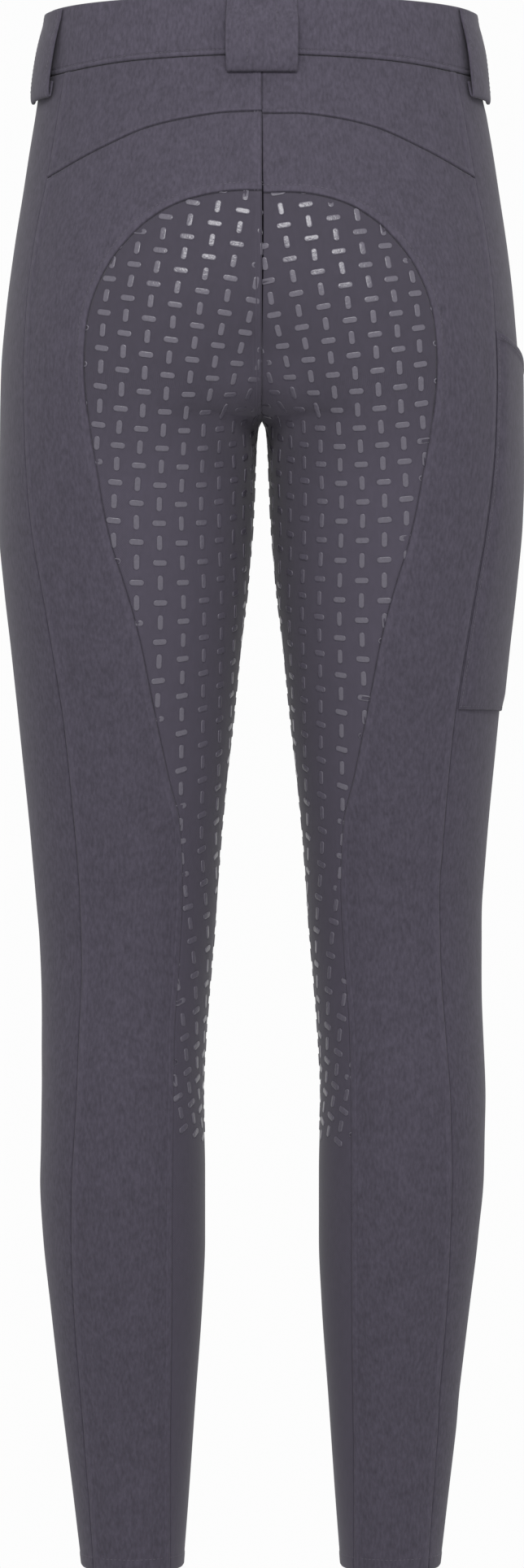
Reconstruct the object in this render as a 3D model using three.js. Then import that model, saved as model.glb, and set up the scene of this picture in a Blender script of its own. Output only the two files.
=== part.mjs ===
// Riding breeches in their worn, hollow shape, on a general figure.
// Millimetres. The origin is the centre of the waist ring, halfway up the waistband.
// +Z is up, the front faces -Y and the wearer's left is +X.
// One half is worked out for x above 0 and the other is its mirror image.
import * as THREE from "three";

// Driving sizes
const bandHeight = 36;
const bandTop = bandHeight / 2;
const bandSeam = -bandHeight / 2;
const crotchLevel = -233;
const hemLevel = -934.5;
const clothThickness = 1.5;
const seamGap = 0.3;
const centreGap = seamGap / 2;

// The worn form, a row for each level. outer: half width at the side. middle: how far from the centre
// the half is deepest. back and front: depth behind and ahead of the origin. widest: where along the
// depth the side stands out most.
const formLevels = [
  { z: 18, outer: 131, middle: 0, back: 88, front: 86, widest: 0 },
  { z: -18, outer: 136, middle: 0, back: 93, front: 90, widest: 2 },
  { z: -52, outer: 140.5, middle: 0, back: 100, front: 94, widest: 3 },
  { z: -88, outer: 145.8, middle: 6, back: 108, front: 97, widest: 4 },
  { z: -128, outer: 152, middle: 25, back: 116, front: 99, widest: 6 },
  { z: -168, outer: 157, middle: 48, back: 120, front: 98, widest: 8 },
  { z: -203, outer: 159.8, middle: 66, back: 118, front: 96, widest: 9 },
  { z: -233, outer: 160.5, middle: 76, back: 113, front: 94, widest: 8 },
  { z: -263, outer: 160.8, middle: 81, back: 106, front: 92, widest: 7 },
  { z: -293, outer: 160, middle: 82.6, back: 100.5, front: 90, widest: 5 },
  { z: -333, outer: 156.5, middle: 82.5, back: 94, front: 88, widest: 4 },
  { z: -373, outer: 152, middle: 82.5, back: 87, front: 85, widest: 3 },
  { z: -433, outer: 145.8, middle: 82.5, back: 74, front: 79, widest: 1 },
  { z: -493, outer: 140, middle: 82.7, back: 64, front: 72, widest: -2 },
  { z: -553, outer: 135.8, middle: 82, back: 57, front: 63, widest: -3 },
  { z: -593, outer: 135.3, middle: 83.4, back: 60, front: 57, widest: 1 },
  { z: -643, outer: 136, middle: 85.9, back: 68, front: 50, widest: 8 },
  { z: -693, outer: 136.5, middle: 85.6, back: 70, front: 47, widest: 11 },
  { z: -733, outer: 133.8, middle: 84.3, back: 67, front: 45, widest: 11 },
  { z: -773, outer: 129.3, middle: 83, back: 61, front: 43, widest: 10 },
  { z: -833, outer: 122.3, middle: 81.5, back: 51, front: 40, widest: 7 },
  { z: -893, outer: 114.8, middle: 80, back: 44, front: 37, widest: 4 },
  { z: hemLevel, outer: 109.8, middle: 79, back: 41, front: 35, widest: 3 },
];

// Where the inner side of each half lies. Above the crotch the two halves run into each other,
// so the value is past the centre, and the cut at the centre shapes the seat.
const innerLevels = [
  { z: 18, inner: -131 },
  { z: -18, inner: -136 },
  { z: -60, inner: -141.6 },
  { z: -101, inner: -136 },
  { z: -140, inner: -120 },
  { z: -168, inner: -98 },
  { z: -198, inner: -60 },
  { z: -213, inner: -38 },
  { z: -222, inner: -22 },
  { z: -228, inner: -10 },
  { z: -231, inner: -4 },
  { z: crotchLevel, inner: centreGap },
  { z: -235, inner: 1.9 },
  { z: -238, inner: 2.7 },
  { z: -253, inner: 3.6 },
  { z: -293, inner: 5.3 },
  { z: -333, inner: 8.5 },
  { z: -373, inner: 13 },
  { z: -433, inner: 19.3 },
  { z: -493, inner: 25.5 },
  { z: -533, inner: 28 },
  { z: -573, inner: 31.5 },
  { z: -613, inner: 34.5 },
  { z: -643, inner: 35.8 },
  { z: -693, inner: 34.8 },
  { z: -733, inner: 34.8 },
  { z: -773, inner: 36.5 },
  { z: -833, inner: 40.8 },
  { z: -893, inner: 45 },
  { z: hemLevel, inner: 48.2 },
];

// The seam between the back and the front, as its distance from the centre seen from behind
const outerSeamLevels = [
  { z: -18, x: 120 },
  { z: -46, x: 123.5 },
  { z: -88, x: 130 },
  { z: -124, x: 137 },
  { z: -168, x: 142 },
  { z: -209, x: 143.5 },
  { z: -250, x: 142.5 },
  { z: -274, x: 140.5 },
  { z: -305, x: 136.5 },
  { z: -333, x: 131.7 },
  { z: -373, x: 125 },
  { z: -420, x: 118 },
  { z: -480, x: 112.3 },
  { z: -520, x: 109.3 },
  { z: -555, x: 108.8 },
  { z: -600, x: 110.8 },
  { z: -650, x: 113.5 },
  { z: -700, x: 115.7 },
  { z: -735, x: 115.3 },
  { z: -773, x: 113.8 },
  { z: -833, x: 109.3 },
  { z: -893, x: 104.5 },
  { z: hemLevel, x: 101.5 },
];

// The edge of the grip panel at the back of the leg, below the seat
const gripSeamLevels = [
  { z: crotchLevel, x: 104.2 },
  { z: -252, x: 101.2 },
  { z: -269, x: 97.9 },
  { z: -290, x: 94 },
  { z: -314, x: 88.3 },
  { z: -332, x: 82.5 },
  { z: -351, x: 76.8 },
  { z: -371, x: 71.8 },
  { z: -406, x: 65 },
  { z: -450, x: 56 },
  { z: -483, x: 48.8 },
  { z: -513, x: 47.7 },
  { z: -564, x: 49.9 },
  { z: -604, x: 52.7 },
  { z: -670, x: 53.7 },
  { z: -772, x: 54.3 },
  { z: -873, x: 55.7 },
  { z: hemLevel, x: 56 },
];

// The arched top of the grip panel over the seat, from the centre to the level of the crotch
const seatArchPoints = [
  { x: centreGap, z: -101.5 },
  { x: 18, z: -101.8 },
  { x: 37, z: -104.8 },
  { x: 54, z: -110.4 },
  { x: 68.7, z: -119.4 },
  { x: 78.5, z: -128.4 },
  { x: 88.2, z: -139.9 },
  { x: 95.5, z: -152 },
  { x: 101.4, z: -166.5 },
  { x: 104.7, z: -181 },
  { x: 106.1, z: -200.7 },
  { x: 105.6, z: -219 },
  { x: 104.2, z: crotchLevel },
];

// The lower edge of the yoke
const yokeSeamLevels = [
  { x: centreGap, z: -52.9 },
  { x: 20, z: -53.5 },
  { x: 37, z: -55.4 },
  { x: 66.6, z: -60.9 },
  { x: 97, z: -72.7 },
  { x: 130, z: -88 },
];

// How far round the front of the inner leg the grip panel reaches, in degrees
const inseamLevels = [
  { z: crotchLevel, degrees: 0 },
  { z: -237, degrees: 1.5 },
  { z: -262, degrees: 8 },
  { z: -310, degrees: 17 },
  { z: -400, degrees: 22 },
  { z: -600, degrees: 22 },
  { z: hemLevel, degrees: 22 },
];

// A smooth curve through the rows of a table, which doesn't swing past them
function curveThrough(rows, fromColumn, toColumn) {
  const sorted = [...rows].sort((a, b) => a[fromColumn] - b[fromColumn]);
  const at = sorted.map((row) => row[fromColumn]);
  const value = sorted.map((row) => row[toColumn]);
  const last = at.length - 1;
  const rise = at.slice(1).map((end, i) => (value[i + 1] - value[i]) / (end - at[i]));
  const slope = value.map((_, i) => {
    const before = rise[Math.max(i - 1, 0)];
    const after = rise[Math.min(i, last - 1)];
    return before * after <= 0 ? 0 : (2 * before * after) / (before + after);
  });
  return (place) => {
    const clamped = Math.min(Math.max(place, at[0]), at[last]);
    let i = 0;
    while (i < last - 1 && clamped > at[i + 1]) i += 1;
    const span = at[i + 1] - at[i];
    const t = (clamped - at[i]) / span;
    const start = value[i] * (1 + 2 * t) * (1 - t) ** 2 + slope[i] * span * t * (1 - t) ** 2;
    const end = value[i + 1] * t * t * (3 - 2 * t) - slope[i + 1] * span * t * t * (1 - t);
    return start + end;
  };
}

const mix = (a, b, t) => a + (b - a) * t;

// The form as a function of the level z and of the turn round the leg: 0 is the inner side,
// a quarter turn is the back, half a turn the outer side and three quarters the front.
const outerReach = curveThrough(formLevels, "z", "outer");
const middleReach = curveThrough(formLevels, "z", "middle");
const backReach = curveThrough(formLevels, "z", "back");
const frontReach = curveThrough(formLevels, "z", "front");
const widestDepth = curveThrough(formLevels, "z", "widest");
const innerReach = curveThrough(innerLevels, "z", "inner");

function formPoint({ z, turn }) {
  const widest = widestDepth(z);
  const middle = middleReach(z);
  const depth = Math.sin(turn) > 0 ? backReach(z) - widest : frontReach(z) + widest;
  const width = Math.cos(turn) > 0 ? middle - innerReach(z) : outerReach(z) - middle;
  return new THREE.Vector3(middle - width * Math.cos(turn), widest + depth * Math.sin(turn), z);
}

function formNormal({ z, turn }) {
  const step = 0.05;
  const turnStep = 0.001;
  const up = formPoint({ z: z + step, turn }).sub(formPoint({ z: z - step, turn }));
  const round = formPoint({ z, turn: turn + turnStep }).sub(formPoint({ z, turn: turn - turnStep }));
  return up.cross(round).normalize();
}

// The turn at which the back of the form lies x from the centre
function turnAt(x, z) {
  const middle = middleReach(z);
  const width = x < middle ? middle - innerReach(z) : outerReach(z) - middle;
  return Math.acos(Math.min(Math.max((middle - x) / width, -1), 1));
}

// The turn reached by going a distance round the form at one level
function turnAfter(z, turn, distance) {
  const steps = 24;
  const probe = 0.01;
  const direction = Math.sign(distance);
  let reached = turn;
  for (let i = 0; i < steps; i += 1) {
    const here = formPoint({ z, turn: reached });
    const length = formPoint({ z, turn: reached + probe * direction }).distanceTo(here);
    reached += (direction * probe * Math.abs(distance)) / steps / length;
  }
  return reached;
}

// Seams as places on the form
const outerSeamX = curveThrough(outerSeamLevels, "z", "x");
const gripSeamX = curveThrough(gripSeamLevels, "z", "x");
const yokeSeamZ = curveThrough(yokeSeamLevels, "x", "z");
const inseamDegrees = curveThrough(inseamLevels, "z", "degrees");
const seatArch = new THREE.SplineCurve(seatArchPoints.map(({ x, z }) => new THREE.Vector2(x, z)));

const outerSeam = (z) => ({ z, turn: turnAt(outerSeamX(z), z) });
const centreBack = (z) => ({ z, turn: turnAt(centreGap, z) });
const centreFront = (z) => ({ z, turn: 2 * Math.PI - turnAt(centreGap, z) });
const gripSeam = (z) => ({ z, turn: turnAt(gripSeamX(z), z) });
const inseam = (z) => ({ z, turn: -THREE.MathUtils.degToRad(inseamDegrees(z)) });

function yokeSeam(share) {
  const x = mix(centreGap, yokeSeamLevels.at(-1).x, share);
  const z = yokeSeamZ(x);
  return { z, turn: turnAt(x, z) };
}

function archPlace(share) {
  const point = seatArch.getPointAt(share);
  return { z: point.y, turn: turnAt(point.x, point.y) };
}

// Levels that neighbouring panels share, so that their edges meet point for point. The first half of
// the arch looks up to the yoke and the second half out to the outer seam.
const archHalf = 0.5;
const yokeRows = 3;
const yokeColumns = 6;
const hipRows = 8;
const yokeCorner = yokeSeamLevels.at(-1).z;
const hipLevels = Array.from({ length: hipRows + 1 }, (_, i) => mix(yokeCorner, crotchLevel, i / hipRows));
const yokeLevels = Array.from({ length: yokeRows }, (_, i) => mix(bandSeam, yokeCorner, i / yokeRows));
const seatCentreLevels = [
  -101.5, -108, -116, -125, -135, -147, -160, -173, -186, -198, -209, -218, -225.5, -230.6, crotchLevel,
];
const frontCentreLevels = [-18, -41, -65, -88, -110, -133, -157, -180, -201, -217, -228.5, crotchLevel];
const legRows = 24;
const belowCrotch = -237;
const legLevels = Array.from({ length: legRows + 1 }, (_, i) => mix(belowCrotch, hemLevel, i / legRows));

// A grid of places, from the first end of each rib to its second
function gridFromRibs(ribs, columns) {
  return ribs.map(([from, to]) => Array.from({ length: columns + 1 }, (_, i) => ({
    z: mix(from.z, to.z, i / columns),
    turn: mix(from.turn, to.turn, i / columns),
  })));
}

// Draws the sewn sides of a grid in by half a seam gap
function drawIn(grid, sides) {
  const lastRow = grid.length - 1;
  const lastColumn = grid[0].length - 1;
  const drawn = grid.map((row) => row.map((place) => ({ ...place })));
  const pull = (row, column, towardsRow, towardsColumn) => {
    const edge = drawn[row][column];
    const next = grid[towardsRow][towardsColumn];
    const length = formPoint(edge).distanceTo(formPoint(next));
    const share = length < 2 * seamGap ? 0 : seamGap / 2 / length;
    edge.z = mix(edge.z, next.z, share);
    edge.turn = mix(edge.turn, next.turn, share);
  };
  for (let row = 0; row <= lastRow; row += 1) {
    if (sides.includes("start")) pull(row, 0, row, 1);
    if (sides.includes("end")) pull(row, lastColumn, row, lastColumn - 1);
  }
  for (let column = 0; column <= lastColumn; column += 1) {
    if (sides.includes("top")) pull(0, column, 1, column);
    if (sides.includes("bottom")) pull(lastRow, column, lastRow - 1, column);
  }
  return drawn;
}

function signedVolume(points, triangles) {
  return triangles.reduce((sum, [a, b, c]) => (
    sum + points[a].dot(new THREE.Vector3().crossVectors(points[b], points[c])) / 6
  ), 0);
}

// A closed wall between two grids of points, an outer and an inner one
function wallGeometry(outerGrid, innerGrid) {
  const rows = outerGrid.length;
  const columns = outerGrid[0].length;
  const points = [...outerGrid.flat(), ...innerGrid.flat()];
  const innerStart = rows * columns;
  const at = (row, column) => row * columns + column;
  const triangles = [];
  const addTriangle = (a, b, c) => {
    const sides = [[a, b], [b, c], [c, a]];
    if (sides.every(([from, to]) => points[from].distanceTo(points[to]) > 0.002)) triangles.push([a, b, c]);
  };
  const addQuad = (a, b, c, d) => {
    const shorterFirst = points[a].distanceTo(points[c]) <= points[b].distanceTo(points[d]);
    if (shorterFirst) {
      addTriangle(a, b, c);
      addTriangle(a, c, d);
    } else {
      addTriangle(a, b, d);
      addTriangle(b, c, d);
    }
  };
  for (let row = 0; row < rows - 1; row += 1) {
    for (let column = 0; column < columns - 1; column += 1) {
      const [a, b] = [at(row, column), at(row, column + 1)];
      const [d, c] = [at(row + 1, column), at(row + 1, column + 1)];
      addQuad(a, b, c, d);
      addQuad(innerStart + a, innerStart + d, innerStart + c, innerStart + b);
    }
  }
  const addEdge = (a, b) => addQuad(b, a, innerStart + a, innerStart + b);
  for (let column = 0; column < columns - 1; column += 1) {
    addEdge(at(0, column), at(0, column + 1));
    addEdge(at(rows - 1, column + 1), at(rows - 1, column));
  }
  for (let row = 0; row < rows - 1; row += 1) {
    addEdge(at(row + 1, 0), at(row, 0));
    addEdge(at(row, columns - 1), at(row + 1, columns - 1));
  }
  const facesOut = signedVolume(points, triangles) > 0;
  const order = facesOut ? triangles : triangles.map(([a, b, c]) => [a, c, b]);
  const geometry = new THREE.BufferGeometry();
  const coordinates = points.flatMap((point) => [point.x, point.y, point.z]);
  geometry.setAttribute("position", new THREE.Float32BufferAttribute(coordinates, 3));
  geometry.setIndex(order.flat());
  geometry.computeVertexNormals();
  return geometry;
}

// A point off the form along its normal, on the left half or mirrored to the right
function raised(place, lift, side) {
  const point = formPoint(place).addScaledVector(formNormal(place), lift);
  return new THREE.Vector3(point.x * side, point.y, point.z);
}

// Cloth of one thickness on the form. liftAt gives how far its outer face stands off the form.
function clothOnForm(grid, side, thickness = clothThickness, liftAt = () => 0) {
  const faceBelow = (depth) => grid.map((row, i) => (
    row.map((place, j) => raised(place, liftAt(i, j) - depth, side))
  ));
  return wallGeometry(faceBelow(0), faceBelow(thickness));
}

const mainCloth = new THREE.MeshStandardMaterial({ color: 0x56525c, roughness: 0.85, metalness: 0 });
const gripCloth = new THREE.MeshStandardMaterial({ color: 0x514d57, roughness: 0.75, metalness: 0 });
const bandCloth = new THREE.MeshStandardMaterial({ color: 0x595560, roughness: 0.85, metalness: 0 });
const buttonPlastic = new THREE.MeshStandardMaterial({ color: 0x3e3b44, roughness: 0.4, metalness: 0 });

const breeches = new THREE.Group();

function addPiece(name, geometry, material) {
  const piece = new THREE.Mesh(geometry, material);
  piece.name = name;
  breeches.add(piece);
  return piece;
}

// Yoke: rows run from the centre back to the outer seam
function yokeGrid() {
  const rows = Array.from({ length: yokeRows + 1 }, (_, row) => row / yokeRows);
  return rows.map((down) => Array.from({ length: yokeColumns + 1 }, (_, column) => {
    const across = column / yokeColumns;
    const lower = yokeSeam(across);
    const z = mix(bandSeam, lower.z, down);
    const lowerSpan = (outerSeam(lower.z).turn - centreBack(lower.z).turn);
    const share = (lower.turn - centreBack(lower.z).turn) / lowerSpan;
    return { z, turn: mix(centreBack(z).turn, outerSeam(z).turn, share) };
  }));
}

// Back panel: ribs run from the seat arch and the grip seam up and out to the yoke and the outer seam
function backPanelGrid() {
  const columns = 5;
  const underYoke = Array.from({ length: yokeColumns }, (_, i) => [
    archPlace(archHalf * (i / yokeColumns)),
    yokeSeam(i / yokeColumns),
  ]);
  const besideSeat = hipLevels.map((z, i) => [archPlace(mix(archHalf, 1, i / hipRows)), outerSeam(z)]);
  const leg = legLevels.map((z) => [gripSeam(z), outerSeam(z)]);
  const [centreRib, ...others] = gridFromRibs([...underYoke, ...besideSeat, ...leg], columns);
  return [centreRib.map(({ z }) => centreBack(z)), ...others];
}

// Grip panel: ribs run from the centre seam, and from the inseam below it, to the same arch and seam
function seatPanelGrid() {
  const columns = 8;
  const archShare = (i) => {
    if (i <= yokeColumns) return (archHalf * i) / yokeColumns;
    return mix(archHalf, 1, (i - yokeColumns) / hipRows);
  };
  const seat = seatCentreLevels.map((z, i) => [centreBack(z), archPlace(archShare(i))]);
  const leg = legLevels.map((z) => [inseam(z), gripSeam(z)]);
  return gridFromRibs([...seat, ...leg], columns);
}

// Front panel: ribs run from the outer seam round to the centre front, and below it to the inseam
function frontPanelGrid() {
  const columns = 15;
  const outerLevels = [...yokeLevels, ...hipLevels];
  const body = outerLevels.map((z, i) => [outerSeam(z), centreFront(frontCentreLevels[i])]);
  const leg = legLevels.map((z) => [outerSeam(z), { z, turn: 2 * Math.PI + inseam(z).turn }]);
  return gridFromRibs([...body, ...leg], columns);
}

for (const [hand, side] of [["left", 1], ["right", -1]]) {
  const yoke = drawIn(yokeGrid(), ["top", "bottom", "end"]);
  addPiece(`yoke_${hand}`, clothOnForm(yoke, side), mainCloth);
  const back = drawIn(backPanelGrid(), ["start", "end"]);
  addPiece(`back_panel_${hand}`, clothOnForm(back, side), mainCloth);
  const seat = drawIn(seatPanelGrid(), ["end"]);
  addPiece(`seat_panel_${hand}`, clothOnForm(seat, side), gripCloth);
  const front = drawIn(frontPanelGrid(), ["top", "start"]);
  addPiece(`front_panel_${hand}`, clothOnForm(front, side), mainCloth);
}

// Waistband: one band that starts at the lapped end on the wearer's left of the centre front,
// runs round by the right side and the back, and ends under its own start.
const bandThickness = 2.5;
const bandLift = 0.7;
const lapLength = 15;
const underLength = 12;
const lapRise = bandThickness + 0.5;
const lapRamp = 22;
const endClearance = 1.2;
const centreFrontTurn = -Math.PI / 2;

function waistband() {
  const rows = 3;
  const columns = 72;
  const turnFor = (distance) => distance / outerReach(0);
  const start = centreFrontTurn - turnFor(lapLength);
  const end = centreFrontTurn + 2 * Math.PI + turnFor(underLength);
  const turns = Array.from({ length: columns + 1 }, (_, i) => mix(start, end, i / columns));
  const levels = Array.from({ length: rows + 1 }, (_, i) => mix(bandTop, bandSeam, i / rows));
  const grid = drawIn(levels.map((z) => turns.map((turn) => ({ z, turn }))), ["bottom"]);
  const rampStart = centreFrontTurn + turnFor(underLength + endClearance);
  const liftAt = (row, column) => {
    const pastLap = (turns[column] - rampStart) / turnFor(lapRamp);
    return bandLift + lapRise * (1 - THREE.MathUtils.smoothstep(pastLap, 0, 1));
  };
  return clothOnForm(grid, 1, bandThickness, liftAt);
}

addPiece("waistband", waistband(), bandCloth);

// Button on the lapped end
const buttonRadius = 7.5;
const buttonHeight = 3.2;
const buttonSides = 20;

function waistButton() {
  const place = { z: 0, turn: centreFrontTurn };
  const outward = formNormal(place);
  const button = new THREE.CylinderGeometry(buttonRadius, buttonRadius, buttonHeight, buttonSides);
  const piece = addPiece("waist_button", button, buttonPlastic);
  piece.position.copy(raised(place, bandLift + lapRise + seamGap + buttonHeight / 2, 1));
  piece.quaternion.setFromUnitVectors(new THREE.Vector3(0, 1, 0), outward);
}

waistButton();

// Fly: a folded flap on the wearer's right of the centre front, narrowing in a curve at its foot
const flyWidth = 34;
const flyFootWidth = 10;
const flyCurveStart = -125;
const flyLevels = [-18.6, -45, -72, -99, flyCurveStart, -140, -152, -160, -165];
const flyThickness = 1.2;
const flyLift = 1.6;

function flyFlap() {
  const columns = 3;
  const grid = flyLevels.map((z) => {
    const down = Math.max((z - flyCurveStart) / (flyLevels.at(-1) - flyCurveStart), 0);
    const width = mix(flyFootWidth, flyWidth, Math.sqrt(1 - down * down));
    return Array.from({ length: columns + 1 }, (_, i) => {
      const x = mix(seamGap, width, i / columns);
      return { z, turn: 2 * Math.PI - turnAt(x, z) };
    });
  });
  return clothOnForm(grid, -1, flyThickness, () => flyLift);
}

addPiece("fly_flap", flyFlap(), mainCloth);

// Phone pocket: a patch on the wearer's right thigh, its back edge on the outer seam. The mouth
// falls towards the front. It is sewn down at its other three edges and stands off in between.
const pocketMouthBack = -181.5;
const pocketMouthFall = 0.26;
const pocketFoot = -410;
const pocketWidth = 92;
const pocketThickness = 1.4;
const pocketEdgeLift = 1.9;
const pocketLift = 2.6;

function phonePocket() {
  const rows = 11;
  const columns = 7;
  const seamInset = 1;
  const grid = Array.from({ length: rows + 1 }, (_, i) => (
    Array.from({ length: columns + 1 }, (_, j) => {
      const across = mix(seamInset, pocketWidth, j / columns);
      const z = mix(pocketMouthBack - pocketMouthFall * across, pocketFoot, i / rows);
      return { z, turn: turnAfter(z, outerSeam(z).turn, across) };
    })
  ));
  const liftAt = (row, column) => {
    const sewn = row === rows || column === 0 || column === columns;
    return sewn ? pocketEdgeLift : pocketLift;
  };
  return clothOnForm(grid, -1, pocketThickness, liftAt);
}

addPiece("phone_pocket", phonePocket(), mainCloth);

// Belt loops: a wide strap from the top of the waistband, bowed out over it and folded under below.
// lift is the middle of the strap off the form, and free is how much of the extra bow it takes. The
// back loop is shorter and stands straight across its width, so that a belt passes behind it.
const loopWidth = 42;
const loopThickness = 1.3;
const backLoopPath = [
  { z: 16.2, lift: 1.9, free: 0 },
  { z: 11, lift: 2, free: 0.1 },
  { z: 5, lift: 2.9, free: 0.55 },
  { z: -1, lift: 3.7, free: 0.9 },
  { z: -8, lift: 4, free: 1 },
  { z: -15, lift: 4, free: 1 },
  { z: -21.5, lift: 3.8, free: 0.8 },
  { z: -26.8, lift: 3.1, free: 0.3 },
  { z: -28.8, lift: 2.15, free: 0 },
  { z: -27.2, lift: 1.25, free: 0 },
  { z: -20, lift: 1.15, free: 0 },
];
const loopPath = [
  { z: 16.2, lift: 1.9, free: 0 },
  { z: 10, lift: 2, free: 0.05 },
  { z: 3, lift: 2.9, free: 0.5 },
  { z: -6, lift: 3.7, free: 0.9 },
  { z: -15, lift: 4, free: 1 },
  { z: -24, lift: 4, free: 1 },
  { z: -31, lift: 3.7, free: 0.7 },
  { z: -35.5, lift: 3.1, free: 0.3 },
  { z: -37.3, lift: 2.15, free: 0 },
  { z: -35.7, lift: 1.25, free: 0 },
  { z: -28, lift: 1.15, free: 0 },
];

function beltLoop(path, centreTurn, side, bow = 0, flatness = 0) {
  const columns = 5;
  const middle = { z: bandSeam, turn: centreTurn };
  const offsets = Array.from({ length: columns + 1 }, (_, j) => mix(-loopWidth, loopWidth, j / columns) / 2);
  const hollowAt = (turn) => (
    formPoint(middle).sub(formPoint({ z: bandSeam, turn })).dot(formNormal(middle))
  );
  const strapFace = (depth) => path.map((row, i) => {
    const before = path[Math.max(i - 1, 0)];
    const after = path[Math.min(i + 1, path.length - 1)];
    const along = new THREE.Vector2(after.z - before.z, after.lift - before.lift).normalize();
    return offsets.map((offset) => {
      const turn = turnAfter(row.z, centreTurn, offset);
      const lift = row.lift + row.free * (bow + flatness * hollowAt(turn));
      return raised({ z: row.z + along.y * depth, turn }, lift - along.x * depth, side);
    });
  });
  return wallGeometry(strapFace(loopThickness / 2), strapFace(-loopThickness / 2));
}

const backLoopBow = 2.9;
const sideLoopTurn = THREE.MathUtils.degToRad(169);
const frontLoopTurn = THREE.MathUtils.degToRad(243);
const backLoopFlatness = 1;
const backLoop = beltLoop(backLoopPath, Math.PI / 2, 1, backLoopBow, backLoopFlatness);
addPiece("belt_loop_back", backLoop, bandCloth);
for (const [hand, side] of [["left", 1], ["right", -1]]) {
  addPiece(`belt_loop_side_${hand}`, beltLoop(loopPath, sideLoopTurn, side), bandCloth);
  addPiece(`belt_loop_front_${hand}`, beltLoop(loopPath, frontLoopTurn, side), bandCloth);
}

export default breeches;
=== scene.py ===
# %% [markdown]
# # Riding breeches, filled out as worn
#
# Full seat breeches seen from behind: smooth stretch cloth on a hollow worn form, a grip panel over
# the seat and the inner leg printed with short silicone dashes, a yoke, a waistband with wide belt
# loops and a thigh pocket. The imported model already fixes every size. This script loads it as a
# frame and puts a finely made piece in the place of each plain solid.

import math

import bmesh
import bpy
import numpy as np
from mathutils import Matrix, Vector
from mathutils.kdtree import KDTree


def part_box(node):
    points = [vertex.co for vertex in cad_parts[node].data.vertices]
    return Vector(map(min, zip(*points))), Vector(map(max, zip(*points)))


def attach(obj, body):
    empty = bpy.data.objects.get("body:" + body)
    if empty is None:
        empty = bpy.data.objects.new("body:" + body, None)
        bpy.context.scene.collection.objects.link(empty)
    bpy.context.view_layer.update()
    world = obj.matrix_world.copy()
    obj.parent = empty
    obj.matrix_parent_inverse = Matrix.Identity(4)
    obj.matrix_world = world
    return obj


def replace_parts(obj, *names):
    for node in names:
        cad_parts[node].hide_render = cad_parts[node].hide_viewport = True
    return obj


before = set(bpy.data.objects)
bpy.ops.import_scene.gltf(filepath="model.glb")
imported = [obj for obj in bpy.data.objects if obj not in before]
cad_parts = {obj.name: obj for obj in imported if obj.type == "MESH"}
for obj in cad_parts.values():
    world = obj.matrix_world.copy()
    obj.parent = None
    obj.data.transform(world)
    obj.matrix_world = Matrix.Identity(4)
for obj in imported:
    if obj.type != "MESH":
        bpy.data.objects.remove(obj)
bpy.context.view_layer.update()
print("solids in the frame:", len(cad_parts))

# %% [markdown]
# ## Camera
#
# The picture is taken straight from behind, level, from far enough away that there is little
# perspective. One pixel of the 644 by 1928 picture is half a millimetre at the middle of the
# garment, so the lens follows from the distance. No shift is needed, because the picture is
# centred.

# %% Camera behind the garment
PICTURE = (644, 1928)
PIXEL = 0.0005
VIEW_DISTANCE = 3.5
VIEW_LEVEL = -0.455
SENSOR = 36.0


def in_scene(name, data):
    """A new object of the scene round its data."""
    thing = bpy.data.objects.new(name, data)
    bpy.context.collection.objects.link(thing)
    return thing


camera_data = bpy.data.cameras.new("camera")
camera_data.sensor_fit = "VERTICAL"
camera_data.sensor_height = SENSOR
camera_data.lens = SENSOR * VIEW_DISTANCE / (PICTURE[1] * PIXEL)
camera = in_scene("camera", camera_data)
camera.location = (0, VIEW_DISTANCE, VIEW_LEVEL)
camera.rotation_euler = (math.pi / 2, 0, math.pi)
bpy.context.scene.camera = camera
print("lens:", round(camera_data.lens, 1), "mm")

# %% [markdown]
# ## Light and floor
#
# The studio is white all round, so the world is plain white and lights the cloth softly from
# everywhere. One wide soft box above the camera gives the printed silicone at the top of the seat
# its bright glints. The floor is pale and lies well below the hems, because the wearer holds the
# garment up, and it fades out towards its rim, so no edge of it shows from any side. The colours
# are shown without a film curve, so the white stays white.

# %% Soft light and white surroundings
STUDIO_WHITE = 0.98
BOX_PLACE, BOX_AIM = Vector((-0.02, 1.25, 0.48)), Vector((0, 0.1, -0.15))
BOX_SIZE, BOX_POWER = (0.7, 0.28), 12.5

bpy.context.scene.view_settings.view_transform = "Standard"
world = bpy.data.worlds.new("white studio")
world.use_nodes = True
surroundings = world.node_tree.nodes["Background"].inputs
surroundings["Color"].default_value = (1, 1, 1, 1)
surroundings["Strength"].default_value = STUDIO_WHITE
bpy.context.scene.world = world

light = bpy.data.lights.new("soft box above", "AREA")
light.shape = "RECTANGLE"
light.size, light.size_y = BOX_SIZE
light.energy = BOX_POWER
soft_box = in_scene(light.name, light)
soft_box.location = BOX_PLACE
soft_box.rotation_euler = (BOX_AIM - BOX_PLACE).to_track_quat("-Z", "Y").to_euler()
print("soft box:", BOX_POWER, "W")

# %% [markdown]
# ## Writing materials as expressions
#
# A material is a small network of nodes. Here a socket is wrapped in a class that knows how to add,
# subtract and multiply, so a network can be written as a formula. Every other node comes from one
# method, which sets the node's own settings first and then its sockets.


# %% A socket that can be used in a formula
class Quantity:
    def __init__(self, finish, socket):
        self.finish, self.socket = finish, socket

    def maths(self, operation, first, second):
        return self.finish.node("ShaderNodeMath", {"operation": operation}, {0: first, 1: second})

    def __add__(self, other):
        return self.maths("ADD", self, other)

    def __radd__(self, other):
        return self.maths("ADD", other, self)

    def __sub__(self, other):
        return self.maths("SUBTRACT", self, other)

    def __rsub__(self, other):
        return self.maths("SUBTRACT", other, self)

    def __mul__(self, other):
        return self.maths("MULTIPLY", self, other)

    def __rmul__(self, other):
        return self.maths("MULTIPLY", other, self)


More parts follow.
